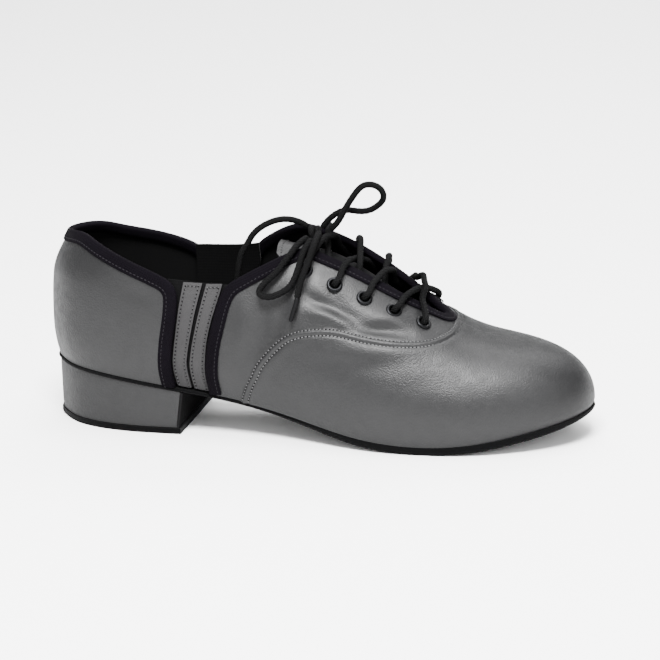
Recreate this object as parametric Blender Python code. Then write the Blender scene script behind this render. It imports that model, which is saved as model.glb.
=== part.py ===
"""Ballroom dance shoe for the right foot: closed solids on one form.

Lengths are millimetres until a point is handed to Blender. +X is the toe, +Z is up,
-Y is the lateral side. The upper is drawn on a form: a plan ring, a ridge and round
sections. A place on the form is a pair: round (share of the ring, from the heel by the
lateral side to the toe and back) and up (0 at the feather edge, 1 at the ridge).
"""

import bpy
import numpy as np
from mathutils import Matrix, Vector, geometry

MM = 0.001
# middle of the finished shoe's box in form measures, moved to the origin at the end
MIDDLE_X = 142.90
MIDDLE_Y = 0.95
LENGTH = 285.0
BALL_WIDTH = 95.0
INSTEP = 104.6
WIDEST = 0.22
WALL_IN = 1.8
VAMP_OUT = 0.3
QUARTER_OUT = -0.3
GAP = 0.3
MARGIN = 9.0
MARGIN_THICK = 1.5
HEEL_LEAN = 0.13
TOE_Y = 2.6
LIFT_THICK = 3.0
BREAST_X = 79.0
BREAST_LEAN = 2.6
LACE = 3.0
FOOT_UP = 0.05
LATERAL = -1
MEDIAL = 1

# station as a share of the length, lateral and medial half width as shares of the ball width
PLAN = (
    (0.020, 0.1389, 0.1611),
    (0.060, 0.2663, 0.2726),
    (0.150, 0.3674, 0.3400),
    (0.300, 0.3821, 0.3221),
    (0.420, 0.3895, 0.3200),
    (0.520, 0.4316, 0.3768),
    (0.620, 0.4832, 0.4632),
    (0.720, 0.4863, 0.5095),
    (0.810, 0.4474, 0.4926),
    (0.890, 0.3600, 0.4158),
    (0.950, 0.2495, 0.3063),
    (0.985, 0.1326, 0.1811),
)
# station, height of the feather edge, thickness of the sole under it
SOLE = (
    (0.00, 32.4, 1.9),
    (0.12, 30.4, 1.9),
    (0.24, 26.0, 1.9),
    (0.36, 20.9, 2.1),
    (0.48, 13.9, 2.7),
    (0.58, 7.6, 3.7),
    (0.68, 4.4, 4.2),
    (0.78, 5.0, 4.2),
    (0.88, 9.4, 3.9),
    (0.95, 13.4, 3.3),
    (1.00, 16.6, 2.3),
)
# station, height of the ridge as a share of the instep height
RIDGE = (
    (0.15, 1.2811),
    (0.26, 1.1855),
    (0.36, 1.0727),
    (0.46, 1.0000),
    (0.56, 0.9025),
    (0.64, 0.7734),
    (0.70, 0.6482),
    (0.76, 0.5306),
    (0.82, 0.4751),
    (0.87, 0.4541),
)
# station, tuck of the feather edge, rise of the widest level, side and top roundness
SECTION = (
    (0.00, 2.5, 18.3, 1.08, 0.90),
    (0.15, 3.0, 20.0, 0.90, 0.90),
    (0.36, 3.5, 17.0, 0.96, 1.01),
    (0.50, 3.0, 16.0, 0.91, 0.94),
    (0.65, 2.5, 15.0, 1.10, 1.04),
    (0.80, 2.0, 11.2, 0.75, 0.95),
    (0.90, 1.6, 6.6, 0.56, 0.96),
    (1.00, 1.1, 3.2, 0.62, 0.94),
)
# station, side shift of the ridge
CENTRE = ((0.0, 0.0), (0.15, 0.0), (0.35, 3.9), (0.5, 9.4), (0.65, 6.9), (0.8, 4.2), (0.9, 4.2))

# edges of the leather as station and up, from the heel down to the gore's foot
REAR_LATERAL = (
    (0.000, 0.507), (0.012, 0.510), (0.031, 0.516), (0.064, 0.519), (0.100, 0.504), (0.150, 0.484),
    (0.200, 0.474), (0.238, 0.470), (0.257, 0.462), (0.267, 0.440), (0.2695, 0.400), (0.2655, 0.315),
    (0.2606, 0.253), (0.2575, 0.187), (0.2570, 0.097), (0.2585, 0.030),
)
REAR_MEDIAL = (
    (0.000, 0.507), (0.012, 0.507), (0.031, 0.504), (0.066, 0.493), (0.100, 0.479), (0.150, 0.475),
    (0.200, 0.485), (0.238, 0.492), (0.257, 0.486), (0.267, 0.462), (0.2695, 0.420), (0.2655, 0.325),
    (0.2606, 0.258), (0.2575, 0.187), (0.2570, 0.097), (0.2585, 0.030),
)
# from the gore's foot by the collar and the facing to the throat
FRONT_LATERAL = (
    (0.3290, 0.030), (0.3270, 0.097), (0.3268, 0.187), (0.3315, 0.290), (0.3430, 0.400), (0.3530, 0.485),
    (0.3660, 0.540), (0.3850, 0.580), (0.4080, 0.622), (0.4350, 0.672), (0.4620, 0.730), (0.4820, 0.777),
    (0.4935, 0.798), (0.5080, 0.806), (0.5300, 0.811), (0.5630, 0.825), (0.6053, 0.846), (0.6586, 0.876),
    (0.6997, 0.911), (0.7300, 0.944), (0.7480, 0.972), (0.7540, 1.000),
)
FRONT_MEDIAL = (
    (0.3310, 0.030), (0.3290, 0.097), (0.3290, 0.187), (0.3340, 0.290), (0.3460, 0.400), (0.3600, 0.530),
    (0.3700, 0.600), (0.3860, 0.655), (0.4080, 0.712), (0.4320, 0.775), (0.4520, 0.828), (0.4690, 0.866),
    (0.4830, 0.882), (0.5030, 0.891), (0.5430, 0.909), (0.5950, 0.927), (0.6480, 0.942), (0.6900, 0.954),
    (0.7220, 0.962), (0.7400, 0.968), (0.7505, 0.980), (0.7540, 1.000),
)
# upper edge of the vamp where it lies on the quarter
SEAM_LATERAL = (
    (0.384, 0.000), (0.389, 0.060), (0.404, 0.200), (0.426, 0.295), (0.448, 0.352), (0.470, 0.398),
    (0.497, 0.438), (0.526, 0.475), (0.557, 0.515), (0.597, 0.553), (0.643, 0.598), (0.685, 0.648),
    (0.726, 0.722), (0.751, 0.802), (0.768, 0.905), (0.774, 1.000),
)
SEAM_MEDIAL = (
    (0.384, 0.000), (0.389, 0.060), (0.404, 0.200), (0.426, 0.295), (0.448, 0.352), (0.470, 0.398),
    (0.497, 0.440), (0.526, 0.482), (0.557, 0.530), (0.597, 0.583), (0.643, 0.645), (0.685, 0.705),
    (0.726, 0.785), (0.751, 0.858), (0.768, 0.935), (0.774, 1.000),
)
# strips on the gore: up, then rear and front edge of each as a station
STRIPS = (
    (0.035, 0.2635, 0.2915, 0.2950, 0.3245),
    (0.100, 0.2612, 0.2895, 0.2930, 0.3225),
    (0.200, 0.2620, 0.2890, 0.2928, 0.3225),
    (0.300, 0.2685, 0.2970, 0.3008, 0.3270),
    (0.400, 0.2750, 0.3065, 0.3110, 0.3375),
    (0.500, 0.2825, 0.3170, 0.3215, 0.3500),
    (0.620, 0.2880, 0.3270, 0.3320, 0.3600),
)
# top line of each gore: side, station and up at the rear and at the front
GORE_TOP = {LATERAL: (0.2480, 0.471, 0.3800, 0.572), MEDIAL: (0.2480, 0.496, 0.3800, 0.625)}
# how far each elastic stands above its strips
GORE_OVER = {LATERAL: 0.0, MEDIAL: 0.03}
# lace holes from the top pair down: station and up
HOLES_LATERAL = ((0.4986, 0.690), (0.5527, 0.697), (0.6054, 0.727), (0.6572, 0.761), (0.7120, 0.800))
HOLES_MEDIAL = ((0.4995, 0.672), (0.5520, 0.724), (0.6060, 0.779), (0.6570, 0.825), (0.7120, 0.848))


class Spline:
    """Natural cubic spline through a short table."""

    def __init__(self, knots, values):
        self.x = np.asarray(knots, float)
        self.y = np.asarray(values, float)
        n = len(self.x)
        h = np.diff(self.x)
        a = np.eye(n)
        r = np.zeros(self.y.shape)
        for i in range(1, n - 1):
            a[i, i - 1:i + 2] = (h[i - 1], 2 * (h[i - 1] + h[i]), h[i])
            r[i] = 6 * ((self.y[i + 1] - self.y[i]) / h[i] - (self.y[i] - self.y[i - 1]) / h[i - 1])
        self.m = np.linalg.solve(a, r)

    def __call__(self, t):
        t = np.asarray(t, float)
        i = np.clip(np.searchsorted(self.x, t) - 1, 0, len(self.x) - 2)
        h = self.x[i + 1] - self.x[i]
        a = (self.x[i + 1] - t) / h
        b = (t - self.x[i]) / h
        hh = h * h / 6
        if self.y.ndim == 2:
            a, b, hh = a[..., None], b[..., None], hh[..., None]
        return (a * self.y[i] + b * self.y[i + 1]
                + ((a ** 3 - a) * self.m[i] + (b ** 3 - b) * self.m[i + 1]) * hh)

    def slope(self, t):
        return (self(np.asarray(t) + 1e-4) - self(np.asarray(t) - 1e-4)) / 2e-4


class Ring:
    """Closed cubic spline through plan points."""

    def __init__(self, points):
        p = np.asarray(points, float)
        n = len(p)
        step = np.roll(p, -1, 0) - p
        d = np.hypot(step[:, 0], step[:, 1]) ** 0.75
        self.k = np.concatenate([[0], np.cumsum(d)])
        self.k /= self.k[-1]
        self.p = np.vstack([p, p[:1]])
        h = np.diff(self.k)
        a = np.zeros((n, n))
        r = np.zeros((n, 2))
        for i in range(n):
            j, k = (i - 1) % n, (i + 1) % n
            a[i, j] += h[j]
            a[i, i] += 2 * (h[j] + h[i])
            a[i, k] += h[i]
            r[i] = 6 * ((p[k] - p[i]) / h[i] - (p[i] - p[j]) / h[j])
        m = np.linalg.solve(a, r)
        self.m = np.vstack([m, m[:1]])

    def __call__(self, u):
        u = np.mod(np.asarray(u, float), 1.0)
        i = np.clip(np.searchsorted(self.k, u, side="right") - 1, 0, len(self.k) - 2)
        h = self.k[i + 1] - self.k[i]
        a = ((self.k[i + 1] - u) / h)[..., None]
        b = ((u - self.k[i]) / h)[..., None]
        hh = (h * h)[..., None] / 6
        return (a * self.p[i] + b * self.p[i + 1]
                + ((a ** 3 - a) * self.m[i] + (b ** 3 - b) * self.m[i + 1]) * hh)


def ease(s, v0, v1, m0, m1, width):
    """Cubic between two values with given slopes."""
    return ((2 * s ** 3 - 3 * s ** 2 + 1) * v0 + (s ** 3 - 2 * s ** 2 + s) * m0 * width
            + (-2 * s ** 3 + 3 * s ** 2) * v1 + (s ** 3 - s ** 2) * m1 * width)


def smooth(t):
    t = np.clip(t, 0.0, 1.0)
    return t * t * (3 - 2 * t)


class Form:
    """The surface that the upper follows."""

    def __init__(self):
        lateral = [(0.0, 0.0)] + [(s * LENGTH, -a * BALL_WIDTH) for s, a, b in PLAN] + [(LENGTH, TOE_Y)]
        medial = [(s * LENGTH, b * BALL_WIDTH) for s, a, b in PLAN[::-1]]
        self.ring = Ring(lateral + medial)
        self.feather = Spline([r[0] for r in SOLE], [r[1] for r in SOLE])
        self.sole = Spline([r[0] for r in SOLE], [r[2] for r in SOLE])
        self.ridge = Spline([t for t, h in RIDGE], [h * INSTEP for t, h in RIDGE])
        self.centre = Spline(*zip(*CENTRE))
        cols = list(zip(*SECTION))
        self.tuck, self.rise, self.p, self.q = (Spline(cols[0], c) for c in cols[1:])
        u = np.linspace(0, 1, 4001)
        x = self.ring(u)[:, 0]
        toe = int(np.argmax(x))
        self.toe_u = float(u[toe])
        self.lat = (np.maximum.accumulate(x[:toe + 1]), u[:toe + 1])
        self.med = (np.maximum.accumulate(x[toe:][::-1]), u[toe:][::-1])

    def round_of(self, station, side):
        """Round share of a station on one side."""
        table = self.lat if side < 0 else self.med
        return np.interp(np.asarray(station, float) * LENGTH, table[0], table[1])

    def spine(self, t):
        low = ease(np.clip(t / 0.36, 0, 1), 0.15, 0.36, 0.25, 1.0, 0.36)
        high = ease(np.clip((t - 0.62) / 0.38, 0, 1), 0.62, 0.855, 1.0, 0.25, 0.38)
        return np.where(t < 0.36, low, np.where(t > 0.62, high, t))

    def at(self, u, v):
        """Points of the form in millimetres."""
        u, v = np.broadcast_arrays(np.asarray(u, float), np.asarray(v, float))
        o = self.ring(u)
        t = np.clip(o[..., 0] / LENGTH, 0, 1)
        sx = self.spine(t)
        c = np.stack([sx * LENGTH, self.centre(sx)], -1)
        d = o - c
        rf = 1 - self.tuck(t) / np.hypot(d[..., 0], d[..., 1])
        zf = self.feather((c[..., 0] + d[..., 0] * rf) / LENGTH)
        zw = zf + self.rise(t)
        fall = self.ridge.slope(sx) / LENGTH * d[..., 0]
        s = np.clip(v / WIDEST, 0, 1)
        w = np.clip((v - WIDEST) / (1 - WIDEST), 0, 1)
        low = v < WIDEST
        rho = np.where(low, 1 - (1 - rf) * (1 - s) ** 2, 1 - w ** 2)
        top = np.maximum(1 - (1 - w ** 2) ** (2 / self.p(t)), 0) ** (self.q(t) / 2)
        z = np.where(low, zf + (zw - zf) * s, zw - fall * (1 - rho) + (self.ridge(sx) - zw + fall) * top)
        lean = HEEL_LEAN * smooth((w - 0.18) / 0.22) * (1 - smooth(t / 0.2))
        xy = c + d * (rho - lean)[..., None]
        return np.concatenate([xy, z[..., None]], -1)

    def frame(self, u, v, e=1e-3):
        """Points, outward normals and the slopes by round and by up."""
        u, v = np.broadcast_arrays(np.asarray(u, float), np.asarray(v, float))
        hi, lo = np.minimum(v + e, 1.0), np.maximum(v - e, 0.0)
        su = (self.at(u + e, v) - self.at(u - e, v)) / (2 * e)
        sv = (self.at(u, hi) - self.at(u, lo)) / (hi - lo)[..., None]
        n = np.cross(su, sv)
        n /= np.maximum(np.linalg.norm(n, axis=-1, keepdims=True), 1e-12)
        return self.at(u, v), n, su, sv

    def off(self, u, v, height):
        """Points at a height over the form."""
        p, n, su, sv = self.frame(u, v)
        return p + n * np.asarray(height, float)[..., None]

    def edge(self, rows, side, step, close=0.0):
        """Even places along an edge given as stations and ups; the end is stepped closer."""
        uv = np.array([(self.round_of(s, side), v) for s, v in rows])
        if side > 0:
            uv[:, 0] = np.where(uv[:, 0] < 0.5, uv[:, 0] + 1.0, uv[:, 0])
        return self.even(uv, step, close)

    def even(self, uv, step, close=0.0):
        """Even places along a smooth curve through some places."""
        p = self.at(uv[:, 0], uv[:, 1])
        k = np.concatenate([[0], np.cumsum(np.linalg.norm(np.diff(p, axis=0), axis=1))])
        curve = Spline(k, uv)
        fine = np.linspace(0, k[-1], 600)
        q = curve(fine)
        q[:, 1] = np.clip(q[:, 1], 0, 1)
        p = self.at(q[:, 0], q[:, 1])
        k = np.concatenate([[0], np.cumsum(np.linalg.norm(np.diff(p, axis=0), axis=1))])
        n = max(int(round((k[-1] - close) / step)), 2)
        want = np.linspace(0, k[-1] - close, n + 1)
        if close:
            want = np.concatenate([want, np.linspace(k[-1] - close, k[-1], 5)[1:]])
        return np.stack([np.interp(want, k, q[:, 0]), np.interp(want, k, q[:, 1])], -1)

    def walk(self, uv, away, dist):
        """Places at a distance from some places, in a direction along the surface."""
        uv = uv.copy()
        for _ in range(3):
            p, n, su, sv = self.frame(uv[:, 0], uv[:, 1])
            d = away - n * (away * n).sum(1, keepdims=True)
            d /= np.linalg.norm(d, axis=1, keepdims=True)
            for i in range(len(uv)):
                m = np.stack([su[i], sv[i]], 1)
                uv[i] += np.linalg.lstsq(m, d[i] * dist / 3, rcond=None)[0]
            uv[:, 1] = np.clip(uv[:, 1], 0, 1)
        return uv


FORM = Form()


def add_mesh(name, points, faces, colour, rough=0.5, metal=0.0):
    """One closed body with its own material."""
    mesh = bpy.data.meshes.new(name)
    mesh.from_pydata([Vector(p) * MM for p in points], [], faces)
    mesh.update()
    obj = bpy.data.objects.new(name, mesh)
    bpy.context.collection.objects.link(obj)
    paint(obj, colour, rough, metal)
    return obj


def paint(obj, colour, rough, metal=0.0):
    mat = bpy.data.materials.new(obj.name + "_mat")
    mat.use_nodes = True
    shader = mat.node_tree.nodes["Principled BSDF"]
    shader.inputs["Base Color"].default_value = (*colour, 1.0)
    shader.inputs["Roughness"].default_value = rough
    shader.inputs["Metallic"].default_value = metal
    obj.data.materials.append(mat)


def inside(points, poly):
    """Which points lie in a polygon."""
    x, y = points[:, 0], points[:, 1]
    hit = np.zeros(len(points), bool)
    for (x0, y0), (x1, y1) in zip(poly, np.roll(poly, -1, 0)):
        cross = (y0 > y) != (y1 > y)
        at = x0 + (y - y0) / (y1 - y0 if y1 != y0 else 1e-12) * (x1 - x0)
        hit ^= cross & (x < at)
    return hit


def triangles(loops, extra_edges, points, keep):
    """Constrained triangles over flat points; loops and edges are lists of point numbers."""
    edges = []
    for loop in loops:
        edges += [(a, b) for a, b in zip(loop, loop[1:] + loop[:1])]
    edges += extra_edges
    flat = [Vector((float(p[0]), float(p[1]))) for p in points]
    verts, _, faces, orig, _, _ = geometry.delaunay_2d_cdt(flat, edges, [], 0, 1e-6)
    back = [o[0] if o else -1 for o in orig]
    out = np.array([[back[i] for i in f] for f in faces if len(f) == 3])
    out = out[(out >= 0).all(1)]
    mid = points[out].mean(1)
    out = out[keep(mid)]
    p = points[out]
    area = np.cross(p[:, 1] - p[:, 0], p[:, 2] - p[:, 0])
    out[area < 0] = out[area < 0][:, ::-1]
    return out[np.abs(area) > 1e-9]


SCALE = np.array([700.0, 120.0])


def edges():
    """Places along the four edges that are bound, the same for the leather and its bindings."""
    return (FORM.edge(REAR_LATERAL, LATERAL, 6.2), FORM.edge(REAR_MEDIAL, MEDIAL, 6.2),
            FORM.edge(FRONT_LATERAL, LATERAL, 6.2, 9.0), FORM.edge(FRONT_MEDIAL, MEDIAL, 6.2, 9.0))


def upper():
    """The hollow upper: leather wall, open at collar and throat, turned in under the foot."""
    step = 9.9
    rear_l, rear_m, front_l, front_m = edges()
    back_v = rear_l[0, 1]
    rear_m[0] = (1.0, back_v)
    seat = np.linspace(0, back_v, 12)[1:-1]
    base = np.linspace(0, 1, 85)
    spine_x = np.linspace(FORM.ring(front_l[-1, 0])[0], LENGTH, 14)[1:-1] / LENGTH
    # the ridge in front of the throat: both sides meet there
    ridge_l = np.stack([FORM.round_of(spine_x, LATERAL), np.ones(len(spine_x))], -1)
    ridge_m = np.stack([FORM.round_of(spine_x, MEDIAL), np.ones(len(spine_x))], -1)
    foot_l = np.linspace(rear_l[-1], front_l[0], 5)[1:-1]
    foot_m = np.linspace(rear_m[-1], front_m[0], 5)[1:-1]
    loop = [np.stack([base, np.zeros(len(base))], -1)]
    loop += [np.stack([np.ones(len(seat)), seat], -1)]
    loop += [rear_m, foot_m, front_m, ridge_m, [[FORM.toe_u, 1.0]], ridge_l[::-1], front_l[::-1]]
    loop += [foot_l[::-1], rear_l[::-1]]
    loop += [np.stack([np.zeros(len(seat)), seat[::-1]], -1)]
    outline = np.vstack(loop)
    points = list(outline)
    loops = [list(range(len(points)))]
    skip = []
    hole_polys = []
    for side, holes in ((LATERAL, HOLES_LATERAL), (MEDIAL, HOLES_MEDIAL)):
        for station, up in holes:
            ring = circle_on(side, station, up, 3.25, 10)
            loops.append(list(range(len(points), len(points) + len(ring))))
            points += list(ring)
            hole_polys.append(ring * SCALE)
            skip.append((FORM.at(FORM.round_of(station, side), up), 5.5))
    seam_high = []
    seam_low = []
    extra = []
    for side, rows in ((LATERAL, SEAM_LATERAL), (MEDIAL, SEAM_MEDIAL)):
        line = FORM.edge(rows, side, 8.5)[1:]
        p, n, su, sv = FORM.frame(line[:, 0], line[:, 1])
        t = np.gradient(p, axis=0)
        away = np.cross(n, t) * side
        below = FORM.walk(line, away, 1.1)
        line[-1, 1] = below[-1, 1] = 1.0
        for rows2, store in ((line, seam_high), (below, seam_low)):
            first = len(points)
            points += list(rows2)
            extra += [(i, i + 1) for i in range(first, len(points) - 1)]
            store.append((first, len(points)))
    points = np.array(points, float)
    # the seam ends on the ridge: take the nearest ridge places to its ends
    fixed = FORM.at(points[:, 0], points[:, 1])
    poly = outline * SCALE
    u, v = np.meshgrid(np.arange(0.006, 0.995, 0.0125), np.arange(0.035, 0.99, 0.068))
    u = u + (np.arange(u.shape[0]) % 2)[:, None] * 0.00625
    cand = np.stack([u.ravel(), v.ravel()], -1)
    cand = cand[inside(cand * SCALE, poly)]
    pos = FORM.at(cand[:, 0], cand[:, 1])
    kept = []
    solid = fixed
    for c, q in zip(cand, pos):
        if np.linalg.norm(solid - q, axis=1).min() < 0.62 * step:
            continue
        if any(np.linalg.norm(q - s) < r for s, r in skip):
            continue
        kept.append(c)
        solid = np.vstack([solid, q])
    points = np.vstack([points, np.array(kept)])
    flat = points * SCALE

    def keep(mid):
        ok = inside(mid, poly)
        for h in hole_polys:
            ok &= ~inside(mid, h)
        return ok

    tris = triangles(loops, extra, flat, keep)
    # height of the outer face: the vamp lies over the quarter
    vamp = np.vstack([
        points[seam_low[0][0]:seam_low[0][1]],
        [[points[seam_low[0][1] - 1][0], 1.2], [points[seam_low[1][1] - 1][0], 1.2]],
        points[seam_low[1][0]:seam_low[1][1]][::-1],
        [[points[seam_low[1][0]][0], -0.2], [points[seam_low[0][0]][0], -0.2]],
    ])
    high = np.where(inside(points * SCALE, vamp * SCALE), VAMP_OUT, QUARTER_OUT)
    for a, b in seam_low:
        high[a:b] = VAMP_OUT
    for a, b in seam_high:
        high[a:b] = QUARTER_OUT
    pos, nor, _, _ = FORM.frame(points[:, 0], points[:, 1])
    # weld the two sides along the back and along the ridge
    name_of = {}
    root = np.arange(len(points))
    for i in range(len(points)):
        on_seam = points[i, 1] > 0.9999 or points[i, 0] < 1e-6 or points[i, 0] > 1 - 1e-6
        if not on_seam:
            continue
        for j, r in name_of.items():
            if np.linalg.norm(pos[i] - pos[j]) < 0.25:
                root[i] = j
                break
        else:
            name_of[i] = i
    for r in name_of:
        group = np.where(root == r)[0]
        n = nor[group].mean(0)
        nor[group] = n / np.linalg.norm(n)
        pos[group] = pos[group].mean(0)
        high[group] = high[group].max()
    outer = pos + nor * high[:, None]
    inner = pos - nor * WALL_IN
    bottom = np.where(points[:, 1] < 1e-9)[0]
    lift = FORM.off(points[bottom, 0], np.full(len(bottom), 0.02), np.full(len(bottom), -WALL_IN))
    lift[:, 2] = FORM.feather(lift[:, 0] / LENGTH) + MARGIN_THICK
    inner[bottom] = lift
    outer[bottom] = pos[bottom]
    # turned-in margin under the foot
    order = bottom[np.argsort(points[bottom, 0])][:-1]
    foot = pos[order]
    o = FORM.ring(points[order, 0])
    sx = FORM.spine(np.clip(o[:, 0] / LENGTH, 0, 1))
    inward = np.stack([sx * LENGTH, FORM.centre(sx)], -1) - o
    inward /= np.linalg.norm(inward, axis=1, keepdims=True)
    rows = [order]
    outer, inner = list(outer), list(inner)
    for d in (0.5 * MARGIN, MARGIN):
        xy = foot[:, :2] + inward * d
        z = FORM.feather(xy[:, 0] / LENGTH)
        first = len(outer)
        outer += [(x, y, h) for (x, y), h in zip(xy, z)]
        inner += [(x, y, h + MARGIN_THICK) for (x, y), h in zip(xy, z)]
        rows.append(np.arange(first, len(outer)))
    root = np.concatenate([root, np.arange(len(root), len(outer))])
    sheet = [tuple(int(root[i]) for i in t) for t in tris]
    for a, b in zip(rows, rows[1:]):
        for i in range(len(a)):
            j = (i + 1) % len(a)
            sheet.append((int(root[b[i]]), int(root[b[j]]), int(root[a[j]]), int(root[a[i]])))
    sheet = [f for f in sheet if len(set(f)) == len(f)]
    return shell("upper", np.array(outer), np.array(inner), sheet, (0.19, 0.19, 0.2), 0.42)


def shell(name, outer, inner, sheet, colour, rough):
    """Closes a sheet with an outer and an inner place for each point."""
    used = sorted({i for f in sheet for i in f})
    index = {old: new for new, old in enumerate(used)}
    n = len(used)
    faces = [tuple(index[i] for i in f) for f in sheet]
    count = {}
    for f in faces:
        for a, b in zip(f, f[1:] + f[:1]):
            count[(a, b)] = count.get((a, b), 0) + 1
    rim = [(a, b) for (a, b) in count if (b, a) not in count]
    back = [tuple(i + n for i in f[::-1]) for f in faces]
    side = [(b, a, a + n, b + n) for a, b in rim]
    points = np.vstack([outer[used], inner[used]])
    return add_mesh(name, points, faces + back + side, colour, rough)


def circle_on(side, station, up, radius, count):
    """Places of a circle on the form."""
    u0 = float(FORM.round_of(station, side))
    p, n, su, sv = FORM.frame(np.array([u0]), np.array([up]))
    a = su[0] / np.linalg.norm(su[0])
    b = np.cross(n[0], a)
    out = []
    for k in range(count):
        t = 2 * np.pi * k / count
        d = (a * np.cos(t) + b * np.sin(t)) * radius
        m = np.stack([su[0], sv[0]], 1)
        out.append(np.array([u0, up]) + np.linalg.lstsq(m, d, rcond=None)[0])
    return np.array(out)


def strip_mesh(name, stations, colour, rough, closed=False):
    """Lofts closed sections into a body; each station is the same number of points."""
    n, k = len(stations), len(stations[0])
    points = np.vstack(stations)
    faces = []
    last = n if closed else n - 1
    for i in range(last):
        j = (i + 1) % n
        for a in range(k):
            b = (a + 1) % k
            faces.append((i * k + a, i * k + b, j * k + b, j * k + a))
    if not closed:
        faces.append(tuple(range(k))[::-1])
        faces.append(tuple((n - 1) * k + a for a in range(k)))
    return add_mesh(name, points, faces, colour, rough)


def outward(obj):
    """Turns the faces outward if the body is inside out."""
    mesh = obj.data
    volume = 0.0
    for f in mesh.polygons:
        p = [mesh.vertices[i].co for i in f.vertices]
        for a, b in zip(p[1:], p[2:]):
            volume += p[0].dot(a.cross(b))
    if volume < 0:
        mesh.flip_normals()
    return obj


# fold of a binding: distance into the leather, height over the form
FOLD = ((5.8, 0.2), (5.8, 0.65), (0.0, 0.65), (-0.9, -0.2), (-0.95, -2.0),
        (0.0, -3.05), (4.2, -3.05), (4.2, -2.5), (-0.42, -2.5), (-0.42, 0.12))


def binding(name, uv, inward_sign):
    """A folded band along an edge of the leather."""
    p, n, su, sv = FORM.frame(uv[:, 0], uv[:, 1])
    t = np.gradient(p, axis=0)
    t /= np.linalg.norm(t, axis=1, keepdims=True)
    away = np.cross(n, t) * inward_sign
    away /= np.linalg.norm(away, axis=1, keepdims=True)
    cache = {}
    stations = []
    for d in {d for d, h in FOLD if d > 0.5}:
        q = FORM.walk(uv, away, d)
        cache[d] = FORM.frame(q[:, 0], q[:, 1])[:2]
    for i in range(len(uv)):
        row = []
        for d, h in FOLD:
            if d in cache:
                row.append(cache[d][0][i] + cache[d][1][i] * h)
            else:
                row.append(p[i] + away[i] * d + n[i] * h)
        stations.append(np.array(row))
    return outward(strip_mesh(name, stations, (0.012, 0.01, 0.015), 0.8))


def bindings():
    """The rear binding in one sweep, the front one in two that meet over the throat."""
    rear_l, rear_m, front_l, front_m = edges()
    rear_m[:, 0] -= 1.0
    rear = np.vstack([rear_m[::-1], rear_l[1:]])
    rear = rear[rear[:, 1] > FOOT_UP]
    binding("rear_binding", rear, -1.0)
    front_l = front_l[front_l[:, 1] > FOOT_UP]
    front_m = front_m[front_m[:, 1] > FOOT_UP]
    cut = 1
    parts = []
    # the two halves are swept apart and joined over the throat
    for uv, sign in ((front_l[:-cut], -1.0), (front_m[:-cut], 1.0)):
        p, n, su, sv = FORM.frame(uv[:, 0], uv[:, 1])
        ends = FORM.at(front_l[-1, 0], 1.0)
        t = np.gradient(p, axis=0)
        t[-1] = ends - p[-2]
        t /= np.linalg.norm(t, axis=1, keepdims=True)
        away = np.cross(n, t) * sign
        away /= np.linalg.norm(away, axis=1, keepdims=True)
        parts.append(fold_rows(uv, p, n, away))
    tip_uv = np.array([[front_l[-1, 0], 1.0]])
    p, n, su, sv = FORM.frame(tip_uv[:, 0], tip_uv[:, 1])
    away = np.array([[1.0, 0.0, 0.0]])
    away = away - n * (away * n).sum(1, keepdims=True)
    away /= np.linalg.norm(away)
    tip = fold_rows(tip_uv, p, n, away)
    stations = parts[0] + tip + parts[1][::-1]
    outward(strip_mesh("front_binding", stations, (0.012, 0.01, 0.015), 0.8))


def fold_rows(uv, p, n, away):
    cache = {}
    for d in {d for d, h in FOLD if d > 0.5}:
        q = FORM.walk(uv, away, d)
        cache[d] = FORM.frame(q[:, 0], q[:, 1])[:2]
    rows = []
    for i in range(len(uv)):
        row = []
        for d, h in FOLD:
            if d in cache:
                row.append(cache[d][0][i] + cache[d][1][i] * h)
            else:
                row.append(p[i] + away[i] * d + n[i] * h)
        rows.append(np.array(row))
    return rows


def patch(name, grid, low, high, colour, rough):
    """A sheet over a grid of places, between two heights over the form."""
    g = np.asarray(grid)
    rows, cols = g.shape[:2]
    flat = g.reshape(-1, 2)
    outer = FORM.off(flat[:, 0], flat[:, 1], np.full(len(flat), high))
    inner = FORM.off(flat[:, 0], flat[:, 1], np.full(len(flat), low))
    sheet = []
    for r in range(rows - 1):
        for c in range(cols - 1):
            a = r * cols + c
            sheet.append((a, a + 1, a + cols + 1, a + cols))
    return outward(shell(name, outer, inner, sheet, colour, rough))


def gore_top(side, station):
    s0, v0, s1, v1 = GORE_TOP[side]
    return v0 + (v1 - v0) * (station - s0) / (s1 - s0)


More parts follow.
